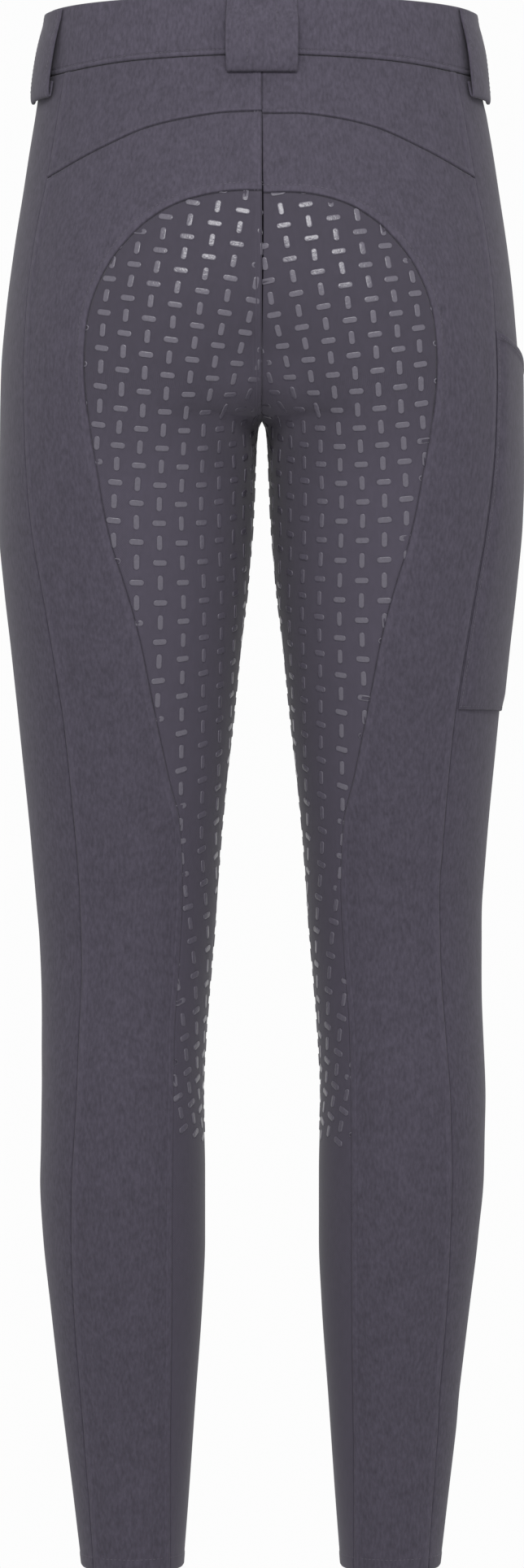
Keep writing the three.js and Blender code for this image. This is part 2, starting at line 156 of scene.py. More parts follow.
class Finish:
    """A material whose nodes are made by name, with a plain surface shader at its end."""

    def __init__(self, name):
        self.material = bpy.data.materials.new(name)
        self.material.use_nodes = True
        self.tree = self.material.node_tree
        self.surface = self.tree.nodes["Principled BSDF"]

    def put(self, node, place, value):
        socket = node.inputs[place]
        if isinstance(value, Quantity):
            self.tree.links.new(value.socket, socket)
        else:
            socket.default_value = value

    def node(self, kind, settings=None, inputs=None, output=0):
        node = self.tree.nodes.new(kind)
        for name, value in (settings or {}).items():
            setattr(node, name, value)
        for place, value in (inputs or {}).items():
            self.put(node, place, value)
        return Quantity(self, node.outputs[output])

    def set(self, **values):
        for name, value in values.items():
            self.put(self.surface, name.replace("_", " "), value)
        return self.material

    def place(self):
        return self.node("ShaderNodeTexCoord", output="Object")

    def attribute(self, name):
        return self.node("ShaderNodeAttribute", {"attribute_name": name}, output="Fac")

    def noise(self, place, scale, detail):
        inputs = {"Vector": place, "Scale": scale, "Detail": detail}
        return self.node("ShaderNodeTexNoise", inputs=inputs)

    def fade(self, value, start, end, low, high):
        """Goes softly from low to high while a value goes from start to end."""
        ends = {"Value": value, "From Min": start, "From Max": end, "To Min": low, "To Max": high}
        return self.node("ShaderNodeMapRange", {"interpolation_type": "SMOOTHSTEP"}, ends)

    def vector(self, operation, inputs, output=0):
        return self.node("ShaderNodeVectorMath", {"operation": operation}, inputs, output)

    def bump(self, height, strength, depth):
        inputs = {"Strength": strength, "Distance": depth, "Height": height}
        return self.node("ShaderNodeBump", inputs=inputs)

    def blend_colour(self, share, first, second):
        inputs = {0: share, 6: (*first, 1), 7: (*second, 1)}
        return self.node("ShaderNodeMix", {"data_type": "RGBA"}, inputs, output=2)


print("a formula such as 1 - mask now adds its own node")

# %% [markdown]
# ## Brushed knit
#
# The main cloth is a thick stretch knit with a brushed face. Close up its colour isn't flat: pale
# and dark fibres lie side by side, in streaks that run along the leg. Two noises on the object's
# own coordinates do that, one about a millimetre fine and drawn out along the leg, one several
# millimetres wide and very weak. A mesh attribute tells how far each point is from a seam or a row
# of stitches, and there painted shade darkens the cloth where it dips into the stitching. A second
# attribute marks the ridge over a seam allowance, where painted light makes the cloth paler. On
# the grip cloth, painted shade darkens the seat and painted light brightens the leg and the crotch,
# to even out how the light falls on them.

# %% Cloth finishes
FIBRES, CLOUDS, STREAK = 620, 120, 0.4
NET_WAVES = 300
SEAM_SHADE, SEAM_SHADE_REACH = 0.66, 0.0009
# how much paler painted light makes the cloth on the ridge over a seam allowance
RIDGE_PAINTED_LIGHT = 0.1
# levels between which painted light down the leg turns into painted shade over the seat
LEG_TONE_BELOW, SEAT_TONE_ABOVE = -0.29, -0.195
# painted light round the crotch: where it centres, how far it reaches and how much paler it makes
# the cloth
CROTCH_PLACE, CROTCH_REACH, CROTCH_PAINTED_LIGHT = (0, 0, -0.228), (0.006, 0.042), 1.5


def knit(name, colour, roughness, heather, sheen=0.08, net=0.0, painted_seat_shade=1.0, painted_leg_light=1.0):
    finish = Finish(name)
    place = finish.place()
    streaks = {"Vector": place, "Scale": (1, 1, STREAK)}
    fibre = finish.noise(finish.node("ShaderNodeMapping", inputs=streaks), FIBRES, 3)
    cloud = finish.noise(place, CLOUDS, 2)
    # painted shade: the cloth's colour is darker close to a seam or a row of stitches, where it
    # dips in
    painted_seam_shade = finish.fade(finish.attribute("from_seam"), 0, SEAM_SHADE_REACH, SEAM_SHADE, 1)
    # painted light: the cloth's colour is paler on the ridge over a seam allowance
    ridge_painted_light = finish.attribute("ridge") * RIDGE_PAINTED_LIGHT
    shade = 1 + (fibre - 0.5) * heather + (cloud - 0.5) * (heather * 0.35) + ridge_painted_light
    if net:
        diagonal = {"Rotation": (0, 0, math.pi / 4)}
        diagonal["Vector"] = finish.node("ShaderNodeUVMap", {"uv_map": "cloth"})
        turned = finish.node("ShaderNodeMapping", inputs=diagonal)
        one, other = (
            finish.node(
                "ShaderNodeTexWave",
                {"wave_type": "BANDS", "bands_direction": direction},
                {"Vector": turned, "Scale": NET_WAVES},
            )
            for direction in "XY"
        )
        shade = shade + (one * other - 0.25) * net
    shade = shade * painted_seam_shade
    # painted shade over the seat and painted light down the leg, which even out how the soft box
    # lights them
    if painted_seat_shade != painted_leg_light:
        level = finish.node("ShaderNodeSeparateXYZ", inputs={0: place}, output="Z")
        shade = shade * finish.fade(level, LEG_TONE_BELOW, SEAT_TONE_ABOVE, painted_leg_light, painted_seat_shade)
        # painted light: the cloth is paler round the crotch, where the form turns in and lies in
        # shade
        flat = finish.vector("MULTIPLY", {0: place, 1: (1, 0, 1)})
        away = finish.vector("DISTANCE", {0: flat, 1: CROTCH_PLACE}, "Value")
        shade = shade * finish.fade(away, *CROTCH_REACH, CROTCH_PAINTED_LIGHT, 1)
    dark, light = (tuple(part * c for c in colour) for part in (0.5, 1.5))
    tone = finish.blend_colour(shade - 0.5, dark, light)
    bump = finish.bump(fibre * 0.7 + cloud * 0.3, 0.35, 0.0003)
    finish.surface.inputs["Sheen Weight"].default_value = sheen
    finish.surface.inputs["Sheen Roughness"].default_value = 0.45
    finish.surface.inputs["Specular IOR Level"].default_value = 0.25
    return finish.set(Base_Color=tone, Roughness=roughness, Normal=bump)


main_cloth = knit("main cloth", (0.0488, 0.0431, 0.0602), 0.9, 0.9)
grip_cloth = knit(
    "grip cloth", (0.0448, 0.0394, 0.0552), 0.85, 0.35,
    sheen=0.1, net=0.3, painted_seat_shade=0.87, painted_leg_light=1.13,
)
band_cloth = knit("band cloth", (0.051, 0.0451, 0.0628), 0.9, 0.95)
print("cloth finishes:", main_cloth.name, grip_cloth.name, band_cloth.name)

# %% [markdown]
# ## Silicone, thread and button
#
# The silicone is printed on as a thin syrup and dries smooth, so it is glossy, a little paler than
# the cloth below it and slightly lumpy. The sewing thread has the cloth's colour with a small
# shine. The button is moulded in a dark satin plastic.


# %% Silicone, thread and plastic
def hard_finish(name, lump_scale, detail, dark, light, roughness, bump=None):
    """A finish whose colour goes from dark to light over its small lumps."""
    finish = Finish(name)
    lumps = finish.noise(finish.place(), lump_scale, detail)
    looks = {"Base_Color": finish.blend_colour(lumps, dark, light), "Roughness": roughness}
    if bump:
        looks["Normal"] = finish.bump(lumps, *bump)
    return finish.set(**looks)


silicone = hard_finish(
    "silicone print", 700, 1, (0.068, 0.062, 0.081), (0.098, 0.09, 0.115), 0.3, (0.5, 0.0004)
)
thread = hard_finish("sewing thread", 1500, 1, (0.045, 0.04, 0.055), (0.078, 0.07, 0.092), 0.55)
plastic = hard_finish(
    "button plastic", 260, 3, (0.04, 0.036, 0.048), (0.058, 0.052, 0.068), 0.38, (0.1, 0.0003)
)
print("hard finishes:", silicone.name, thread.name, plastic.name)

# %% The pale floor
FLOOR_HALF, FLOOR_LEVEL = 1.6, -1.25
FADE_START, FADE_END = 1.45, 2.0


def pale_floor():
    finish = Finish("pale floor")
    place = finish.place()
    tone = finish.blend_colour(finish.noise(place, 2, 2), (0.82, 0.82, 0.82), (0.85, 0.85, 0.85))
    rim = finish.fade(finish.vector("LENGTH", {0: place}, "Value"), FADE_START, FADE_END, 1, 0)
    mesh = bpy.data.meshes.new("floor")
    around = ((-1, -1), (1, -1), (1, 1), (-1, 1))
    corners = [(x * FLOOR_HALF, y * FLOOR_HALF, FLOOR_LEVEL) for x, y in around]
    mesh.from_pydata(corners, [], [(0, 1, 2, 3)])
    mesh.materials.append(finish.set(Base_Color=tone, Roughness=0.9, Alpha=rim))
    floor = in_scene("floor", mesh)
    return floor


print("stage:", pale_floor().name)

# %% [markdown]
# ## The worn form
#
# Everything lies on one form, the outer face of the filled-out breeches. Sizes are in millimetres,
# as a pattern cutter writes them. Each level has how far the half reaches out, back and forward,
# and where it is deepest. A point on it is given by its level and its turn round the leg: 0 is the
# inner side, a quarter turn the back, half a turn the outer side and three quarters the front.

# %% Sizes of the form, level by level
MM = 0.001
BAND_TOP, BAND_SEAM = 18.0, -18.0
CROTCH, HEM = -233.0, -934.5
CLOTH = 1.5
CENTRE = 0.15
HANDS = {"left": 1, "right": -1}

# z, outer, middle, back, front, widest
form_levels = np.array([
    (18, 131, 0, 88, 86, 0), (-18, 136, 0, 93, 90, 2), (-52, 140.5, 0, 100, 94, 3),
    (-88, 145.8, 6, 108, 97, 4), (-128, 152, 25, 116, 99, 6), (-168, 157, 48, 120, 98, 8),
    (-203, 159.8, 66, 118, 96, 9), (-233, 160.5, 76, 113, 94, 8), (-263, 160.8, 81, 106, 92, 7),
    (-293, 160, 82.6, 100.5, 90, 5), (-333, 156.5, 82.5, 94, 88, 4), (-373, 152, 82.5, 87, 85, 3),
    (-433, 145.8, 82.5, 74, 79, 1), (-493, 140, 82.7, 64, 72, -2), (-553, 135.8, 82, 57, 63, -3),
    (-593, 135.3, 83.4, 60, 57, 1), (-643, 136, 85.9, 68, 50, 8), (-693, 136.5, 85.6, 70, 47, 11),
    (-733, 133.8, 84.3, 67, 45, 11), (-773, 129.3, 83, 61, 43, 10), (-833, 122.3, 81.5, 51, 40, 7),
    (-893, 114.8, 80, 44, 37, 4), (HEM, 109.8, 79, 41, 35, 3),
])
# z, inner side of the half
inner_levels = np.array([
    (18, -131), (-18, -136), (-60, -141.6), (-101, -136), (-140, -120), (-168, -98), (-198, -60),
    (-213, -38), (-222, -22), (-228, -10), (-231, -4), (CROTCH, CENTRE), (-235, 1.9), (-238, 2.7),
    (-253, 3.6), (-293, 5.3), (-333, 8.5), (-373, 13), (-433, 19.3), (-493, 25.5), (-533, 28),
    (-573, 31.5), (-613, 34.5), (-643, 35.8), (-693, 34.8), (-733, 34.8), (-773, 36.5),
    (-833, 40.8), (-893, 45), (HEM, 48.2),
])


def curve_through(rows, from_column=0, to_column=1):
    """A smooth curve through a table, which doesn't swing past its rows."""
    rows = np.asarray(rows, float)
    rows = rows[np.argsort(rows[:, from_column])]
    at, value = rows[:, from_column], rows[:, to_column]
    rise = np.diff(value) / np.diff(at)
    before, after = np.append(rise[0], rise), np.append(rise, rise[-1])
    both = before + after
    same_way = before * after > 0
    slope = np.where(same_way, 2 * before * after / np.where(same_way, both, 1), 0)

    def curve(place):
        place = np.clip(np.asarray(place, float), at[0], at[-1])
        i = np.clip(np.searchsorted(at, place) - 1, 0, len(at) - 2)
        span = at[i + 1] - at[i]
        t = (place - at[i]) / span
        start = value[i] * (1 + 2 * t) * (1 - t) ** 2 + slope[i] * span * t * (1 - t) ** 2
        end = value[i + 1] * t * t * (3 - 2 * t) - slope[i + 1] * span * t * t * (1 - t)
        return start + end

    return curve


outer_reach, middle_reach, back_reach, front_reach, widest_depth = (
    curve_through(form_levels, 0, column) for column in range(1, 6)
)
inner_reach = curve_through(inner_levels)


def form_point(z, turn):
    z, turn = np.broadcast_arrays(np.asarray(z, float), np.asarray(turn, float))
    widest, middle = widest_depth(z), middle_reach(z)
    depth = np.where(np.sin(turn) > 0, back_reach(z) - widest, front_reach(z) + widest)
    width = np.where(np.cos(turn) > 0, middle - inner_reach(z), outer_reach(z) - middle)
    return np.stack([middle - width * np.cos(turn), widest + depth * np.sin(turn), z], -1)


def form_normal(z, turn):
    step, turn_step = 0.05, 0.001
    up = form_point(z + step, turn) - form_point(z - step, turn)
    around = form_point(z, turn + turn_step) - form_point(z, turn - turn_step)
    normal = np.cross(up, around)
    return normal / np.linalg.norm(normal, axis=-1, keepdims=True)


def turn_at(x, z):
    """The turn at which the back of the form lies x from the centre."""
    middle = middle_reach(z)
    width = np.where(x < middle, middle - inner_reach(z), outer_reach(z) - middle)
    return np.arccos(np.clip((middle - x) / width, -1, 1))


def turn_after(z, turn, distance, steps=24):
    """The turn reached by going a distance round the form at one level."""
    z, reached, distance = (a.copy() for a in np.broadcast_arrays(z, turn, distance))
    probe = 0.01
    for _ in range(steps):
        here = form_point(z, reached)
        length = np.linalg.norm(form_point(z, reached + probe) - here, axis=-1)
        reached = reached + probe * distance / steps / length
    return reached


# z, how far the outer side is moved towards the wearer's left
left_lean = curve_through([
    (18, 0), (-240, 0), (-313, 2), (-523, 1.7), (-553, 0.9), (-583, 0.1), (-613, -0.3), (-643, -1),
    (-673, -1), (-703, -0.4), (-733, 0.2), (-913, 0.9),
])
right_lean = curve_through([
    (18, 1.2), (-4, 1.3), (-28, 2), (-43, 1.2), (-73, 1), (-133, 1.5), (-193, 2.5), (-313, 2.5),
    (-523, 1.8), (-553, 0.7), (-583, 0.3), (-613, -0.5), (-643, -1), (-673, 0), (-703, 0.8),
    (-733, 1.5), (-823, 2), (-853, 1), (-913, 0.5),
])


# how far forward of the middle, and how much lower the waistband's seam is there than at the back
band_dip = curve_through(
    [(-93, 0), (-90, 0.5), (-77, 1.8), (-48, 5), (-33, 5.6), (-10, 6), (95, 6)]
)
DIP_REACH = 57


def smooth(share):
    return share * share * (3 - 2 * share)


def worn(points, dips=True):
    """The two halves aren't quite alike: their outer sides lean a little, their inner sides don't.
    The waistband's seam dips towards the sides and the front, and its upper edge doesn't."""
    x, z = points[..., 0], points[..., 2]
    inside, outside = np.maximum(inner_reach(z), 0), outer_reach(z)
    share = np.clip((np.abs(x) - inside) / (outside - inside), 0, 1)
    shift = np.where(x > 0, left_lean(z), right_lean(z)) * smooth(share)
    if dips:
        above = z - BAND_SEAM
        near = 1 - above / np.where(above > 0, BAND_TOP - BAND_SEAM, -DIP_REACH)
        z = z - band_dip(-points[..., 1]) * smooth(np.clip(near, 0, 1))
    return np.stack([x + shift, points[..., 1], z], -1)


print("at the hip the form is", round(2 * float(outer_reach(-233))), "mm wide")

# %% [markdown]
# ## Seam lines
#
# The seams are lines on the form, each from a short table of where it lies. They divide the form
# into the panels, so that neighbouring panels share their edge exactly.

# %% Where the seams lie
outer_seam_x = curve_through([
    (-18, 120), (-46, 123.5), (-88, 130), (-124, 137), (-168, 142), (-209, 143.5), (-250, 142.5),
    (-274, 140.5), (-305, 136.5), (-333, 131.7), (-373, 125), (-420, 118), (-480, 112.3),
    (-520, 109.3), (-555, 108.8), (-600, 110.8), (-650, 113.5), (-700, 115.7), (-735, 115.3),
    (-773, 113.8), (-833, 109.3), (-893, 104.5), (HEM, 101.5),
])
grip_seam_x = curve_through([
    (CROTCH, 104.2), (-252, 101.2), (-269, 97.9), (-290, 94), (-314, 88.3), (-332, 82.5),
    (-351, 76.8), (-371, 71.8), (-406, 65), (-450, 56), (-483, 48.8), (-513, 47.7), (-564, 49.9),
    (-604, 52.7), (-670, 53.7), (-772, 54.3), (-873, 55.7), (HEM, 56),
])
seat_arch = np.array([
    (CENTRE, -101.5), (18, -101.8), (37, -104.8), (54, -110.4), (68.7, -119.4), (78.5, -128.4),
    (88.2, -139.9), (95.5, -152), (101.4, -166.5), (104.7, -181), (106.1, -200.7), (105.6, -219),
    (104.2, CROTCH),
])
yoke_seam_z = curve_through([
    (CENTRE, -52.9), (20, -53.5), (37, -55.4), (66.6, -60.9), (97, -72.7), (130, -88),
])
YOKE_CORNER = (130.0, -88.0)
inseam_degrees = [
    (CROTCH, 0), (-237, 1.5), (-262, 8), (-310, 17), (-400, 22), (-600, 22), (HEM, 22),
]
inseam_turn = curve_through([(z, -math.radians(degrees)) for z, degrees in inseam_degrees])


def through_points(points, count):
    """Evenly spaced points on a smooth curve through a list of points."""
    points = np.asarray(points, float)
    ends = np.vstack([2 * points[0] - points[1], points, 2 * points[-1] - points[-2]])
    t = np.linspace(0, 1, 41)[:, None]
    fine = []
    for a, b, c, d in zip(ends, ends[1:], ends[2:], ends[3:]):
        bend = (2 * a - 5 * b + 4 * c - d) * t**2 + (3 * b - a - 3 * c + d) * t**3
        fine.append(0.5 * (2 * b + (c - a) * t + bend)[:-1])
    fine = np.vstack([*fine, points[-1:]])
    run = np.append(0, np.cumsum(np.linalg.norm(np.diff(fine, axis=0), axis=1)))
    even = np.linspace(0, run[-1], count)
    return np.stack([np.interp(even, run, fine[:, k]) for k in range(points.shape[1])], -1)


def outer_seam(z):
    return turn_at(outer_seam_x(z), z)


def grip_seam(z):
    return turn_at(grip_seam_x(z), z)


def centre_turn(z):
    """The turn of the centre back. Below the crotch it is the innermost line of the leg."""
    return np.where(np.asarray(z) > CROTCH, turn_at(CENTRE, z), 0)


ARCH_STEPS = 400
arch_fine = through_points(seat_arch, ARCH_STEPS)


def arch_place(share):
    steps = np.linspace(0, 1, ARCH_STEPS)
    x, z = (np.interp(share, steps, arch_fine[:, k]) for k in (0, 1))
    return z, turn_at(x, z)


def yoke_place(share):
    x = CENTRE + (YOKE_CORNER[0] - CENTRE) * np.asarray(share)
    z = yoke_seam_z(x)
    return z, turn_at(x, z)


print("the outer seam is", round(abs(HEM - BAND_SEAM)), "mm tall")

# %% [markdown]
# ## Cutting panels out of the form
#
# A panel is a grid of places on the form. Its ribs run from one seam to the other, close together
# near the seams, where the cloth rolls into the stitching, and wider apart in between. A rib is
# drawn in levels and in turns counted from the centre line, so it never crosses to the other half.


# %% Ribs between two seams
# how far from a seam the first ribs and points lie, in millimetres
NEAR_SEAM = np.array([0, 0.3, 0.65, 1.1, 1.7, 2.4, 3.1, 3.7, 4.2, 4.6, 5.0, 5.4, 5.9, 6.6, 7.8])


def spread(length, step=2.8):
    """Places along a rib of a length in millimetres, as shares, close together near its ends."""
    last = length - NEAR_SEAM[::-1]
    count = max(int((last[0] - NEAR_SEAM[-1]) / step), 2) + 1
    between = np.linspace(NEAR_SEAM[-1], last[0], count)
    return np.concatenate([NEAR_SEAM[:-1], between, last[1:]]) / length


def ribs(start, end, shares):
    """Grid of (z, turn) with a row for each rib. start and end are (z, turn) arrays."""
    (z0, turn0), (z1, turn1) = start, end
    own0, own1 = turn0 - centre_turn(z0), turn1 - centre_turn(z1)
    z = z0[:, None] + (z1 - z0)[:, None] * shares
    own = own0[:, None] + (own1 - own0)[:, None] * shares
    return z, own + centre_turn(z)


LEG_STEP = 3.2
leg_z = np.linspace(CROTCH, HEM, int((CROTCH - HEM) / LEG_STEP) + 1)[1:]
leg_z = np.concatenate([leg_z[:-3], HEM + np.array([9, 7, 6, 5, 4, 3, 2.2, 1.5, 0.9, 0.4, 0])])
hip_share = np.linspace(0, 1, 56)
hip_z = YOKE_CORNER[1] + (CROTCH - YOKE_CORNER[1]) * hip_share
under_yoke = np.linspace(0, 1, 44)[:-1]
under_yoke = np.concatenate([[0, 0.003, 0.007, 0.012, 0.018], under_yoke[1:]])


def joined(*parts):
    """Several lines of (z, turn) end to end."""
    full = [np.broadcast_arrays(*part) for part in parts]
    return tuple(np.concatenate([part[k] for part in full]) for k in (0, 1))


# about how long the ribs of each panel are
YOKE_ACROSS, YOKE_DOWN, BACK_RIB, SEAT_RIB, FRONT_RIB = 132, 60, 75, 95, 230


def yoke_panel():
    across, down = spread(YOKE_ACROSS), spread(YOKE_DOWN)
    lower_z, lower_turn = yoke_place(across)
    span = outer_seam(lower_z) - centre_turn(lower_z)
    share = (lower_turn - centre_turn(lower_z)) / span
    z = BAND_SEAM + (lower_z - BAND_SEAM)[None, :] * down[:, None]
    turn = centre_turn(z) + share[None, :] * (outer_seam(z) - centre_turn(z))
    return z, turn


def back_panel():
    start = joined(
        arch_place(0.5 * under_yoke),
        arch_place(0.5 + 0.5 * hip_share),
        (leg_z, grip_seam(leg_z)),
    )
    end = joined(yoke_place(under_yoke), (hip_z, outer_seam(hip_z)), (leg_z, outer_seam(leg_z)))
    return ribs(start, end, spread(BACK_RIB))


def seat_panel():
    down = np.linspace(0, 1, len(under_yoke) + len(hip_z))
    top = seat_arch[0, 1]
    centre_z = top + (CROTCH - top) * (1 - (1 - down) ** 1.35)
    share = np.concatenate([0.5 * under_yoke, 0.5 + 0.5 * hip_share])
    start = joined((centre_z, centre_turn(centre_z)), (leg_z, inseam_turn(leg_z)))
    end = joined(arch_place(share), (leg_z, grip_seam(leg_z)))
    return ribs(start, end, spread(SEAT_RIB))


# The front's inner edge swings in at the crotch. Only the last part of a rib follows that swing,
# and the rest of it aims at this easier line, in degrees before the inner side.
EASY_FROM = -198.0
easy_inner_edge = curve_through([
    (EASY_FROM, 59.1), (-213, 50.5), (-233, 39.5), (-262, 28), (-310, 20), (-400, 22), (HEM, 22),
])


def front_panel():
    top_z = BAND_SEAM - np.array([0, 0.4, 0.9, 1.6, 2.6, 4])
    side_z = np.linspace(BAND_SEAM - 6.5, YOKE_CORNER[1], 26)[:-1]
    upper_z = np.concatenate([top_z, side_z, hip_z])
    z = np.concatenate([upper_z, leg_z])
    inner = np.concatenate([turn_at(CENTRE, upper_z), -inseam_turn(leg_z)])
    easy = np.where(z > EASY_FROM, inner, np.radians(easy_inner_edge(z)))
    start, shares = outer_seam(z)[:, None], spread(FRONT_RIB, step=3.4)
    run = (2 * math.pi - easy)[:, None] - start
    turn = start + run * shares + (easy - inner)[:, None] * shares**5
    return np.broadcast_to(z[:, None], turn.shape), turn


panels = {
    "yoke": yoke_panel(), "back_panel": back_panel(), "seat_panel": seat_panel(),
    "front_panel": front_panel(),
}
for name, (z, _) in panels.items():
    print(name, "has", z.shape[0], "ribs of", z.shape[1], "points")

# %% [markdown]
# ## Cloth with a thickness
#
# Each panel becomes a closed sheet: its outer face, its inner face a cloth's thickness below, and
# a narrow wall round its edge. How far the outer face stands off the form is the relief of the
# sewing: it dips at the seam, rises over the seam allowance that is pressed to one side, and dips
# again a little along the topstitching.


# %% Building a closed sheet from two faces
FAR_FROM_SEAM = 50.0


def grid_faces(at):
    """Four-sided faces between the neighbouring points of a grid of point numbers."""
    corners = at[:-1, :-1], at[:-1, 1:], at[1:, 1:], at[1:, :-1]
    return np.stack(corners, -1).reshape(-1, 4)


def closed_sheet(name, outer, inner, finish, side=1, from_seam=None, ridge=None, dips=True):
    """A mesh object between two grids of points, mirrored to the right for side -1."""
    rows, columns = outer.shape[:2]
    points = np.concatenate([outer.reshape(-1, 3), inner.reshape(-1, 3)]) * (side, 1, 1)
    points = worn(points, dips) * MM
    shift = rows * columns
    at = np.arange(shift).reshape(rows, columns)
    face = grid_faces(at)
    rim = np.concatenate([at[0, :], at[1:, -1], at[-1, -2::-1], at[-2:0:-1, 0]])
    following = np.roll(rim, -1)
    wall = np.stack([following, rim, rim + shift, following + shift], -1)
    faces = np.concatenate([face, face[:, [0, 3, 2, 1]] + shift, wall])
    first, second, third, fourth = (points[faces[:, k]] for k in range(4))
    volume = np.einsum("ij,ij->", first, np.cross(second, third) + np.cross(third, fourth))
    if volume < 0:
        faces = faces[:, ::-1]
    mesh = bpy.data.meshes.new(name)
    mesh.from_pydata(points.tolist(), [], faces.tolist())
    across = np.linalg.norm(np.diff(outer, axis=1), axis=-1)
    across = np.concatenate([np.zeros((rows, 1)), np.cumsum(across, axis=1)], axis=1)
    cloth = np.stack([across, outer[..., 2]], -1).reshape(-1, 2) * MM
    cloth = np.concatenate([cloth, cloth])
    corner_points = np.zeros(len(mesh.loops), int)
    mesh.loops.foreach_get("vertex_index", corner_points)
    mesh.uv_layers.new(name="cloth").data.foreach_set("uv", cloth[corner_points].ravel())
    seam = np.full((rows, columns), FAR_FROM_SEAM) if from_seam is None else from_seam
    ridge = np.zeros((rows, columns)) if ridge is None else ridge
    for label, values in (("from_seam", seam * MM), ("ridge", ridge)):
        both = np.concatenate([values.ravel(), values.ravel()]).astype(np.float32)
        mesh.attributes.new(label, "FLOAT", "POINT").data.foreach_set("value", both)
    mesh.materials.append(finish)
    mesh.polygons.foreach_set("use_smooth", np.ones(len(mesh.polygons), bool))
    merged = bmesh.new()
    merged.from_mesh(mesh)
    bmesh.ops.remove_doubles(merged, verts=merged.verts, dist=1e-7)
    merged.to_mesh(mesh)
    merged.free()
    return in_scene(name, mesh)


def nearest_distance(points, line):
    """How far each point is from a line of points, measured to its segments."""
    tree = KDTree(len(line))
    for i, p in enumerate(line):
        tree.insert(p, i)
    tree.balance()
    flat = points.reshape(-1, 3)
    index = np.array([tree.find(p)[1] for p in flat])
    best = np.full(len(flat), np.inf)
    for first in (np.maximum(index - 1, 0), np.minimum(index, len(line) - 2)):
        start, way = line[first], line[first + 1] - line[first]
        length = np.maximum(np.einsum("ij,ij->i", way, way), 1e-9)
        t = np.einsum("ij,ij->i", flat - start, way) / length
        foot = start + np.clip(t, 0, 1)[:, None] * way
        best = np.minimum(best, np.linalg.norm(flat - foot, axis=1))
    return best.reshape(points.shape[:-1])


def step_up(value, start, end):
    return smooth(np.clip((value - start) / (end - start), 0, 1))


def groove(distance, width):
    """1 on a line, falling off softly beside it."""
    return np.exp(-((distance / width) ** 2))


SEAM_ROLL = 0.55
ALLOWANCE_RISE, ALLOWANCE_EDGE = 0.5, 1.3
ROW_DIP, ROW_WIDTH = 0.26, 0.5


def seam_relief(distance, depth, allowance, rows_of_stitches):
    """Height of the cloth's face near a seam, in millimetres off the form."""
    height = -depth * groove(distance, SEAM_ROLL)
    if allowance:
        beyond = step_up(distance, allowance, allowance + ALLOWANCE_EDGE)
        height = height + ALLOWANCE_RISE * step_up(distance, 0.1, 0.9) * (1 - beyond)
    for row in rows_of_stitches:
        height = height - ROW_DIP * groove(distance - row, ROW_WIDTH)
    return height


# where a fold lies: level, turn in degrees, its slant, length and width, and how high it stands
folds = {
    "left": [
        (-252, 38, -38, 34, 7, -0.7), (-272, 30, -52, 38, 8, 0.5), (-300, 24, -60, 40, 8, -0.5),
        (-470, 70, 12, 24, 6, 0.35), (-486, 88, 6, 34, 6, -0.55), (-506, 96, -4, 30, 6, 0.4),
        (-522, 80, -9, 32, 6, -0.5), (-548, 100, 5, 24, 7, 0.35), (-868, 92, 8, 22, 6, -0.35),
        (-884, 70, -6, 20, 5, 0.3), (-214, 288, 28, 46, 8, -0.8), (-236, 300, 40, 40, 8, 0.5),
        (-262, 318, 55, 36, 8, -0.6), (-474, 268, -7, 30, 7, -0.45), (-512, 280, 8, 34, 7, -0.5),
        (-876, 275, 6, 24, 6, -0.4),
    ],
    "right": [
        (-256, 34, -42, 32, 7, -0.65), (-280, 28, -50, 36, 8, 0.45), (-308, 22, -62, 38, 8, -0.45),
        (-478, 82, 9, 30, 6, -0.5), (-497, 100, 3, 28, 6, 0.4), (-515, 90, -7, 32, 6, -0.55),
        (-540, 76, -4, 26, 6, 0.35), (-860, 84, -7, 22, 6, -0.35), (-880, 98, 5, 20, 5, 0.3),
        (-218, 286, 31, 44, 8, -0.75), (-242, 302, 43, 40, 8, 0.5), (-268, 316, 52, 36, 8, -0.6),
        (-482, 274, -5, 32, 7, -0.5), (-518, 262, 9, 30, 7, -0.45), (-870, 280, -6, 24, 6, -0.4),
    ],
}


def fold_height(hand, z, turn):
    """How far the cloth of one hand stands off the form because of its soft folds."""
    height = np.zeros(np.broadcast(z, turn).shape)
    probe = 0.01
    for level, degrees, slant, length, width, rise in folds[hand]:
        centre = math.radians(degrees)
        step = form_point(level, centre + probe) - form_point(level, centre)
        radius = float(np.linalg.norm(step) / probe)
        across = (np.mod(turn - centre + math.pi, 2 * math.pi) - math.pi) * radius
        up = z - level
        c, s = math.cos(math.radians(slant)), math.sin(math.radians(slant))
        along, beside_it = across * c + up * s, up * c - across * s
        height = height + rise * np.exp(-((along / length) ** 2) - (beside_it / width) ** 2)
    return height


print("a closed sheet has two faces", CLOTH, "mm apart")

# %% [markdown]
# ## Main panels
#
# Seen from behind, the allowance of the outer seam and of the grip seam lies under the back panel,
# so a ridge with a row of stitches runs beside each. At the centre back it lies under the wearer's
# left half only. The yoke laps over what is below it.

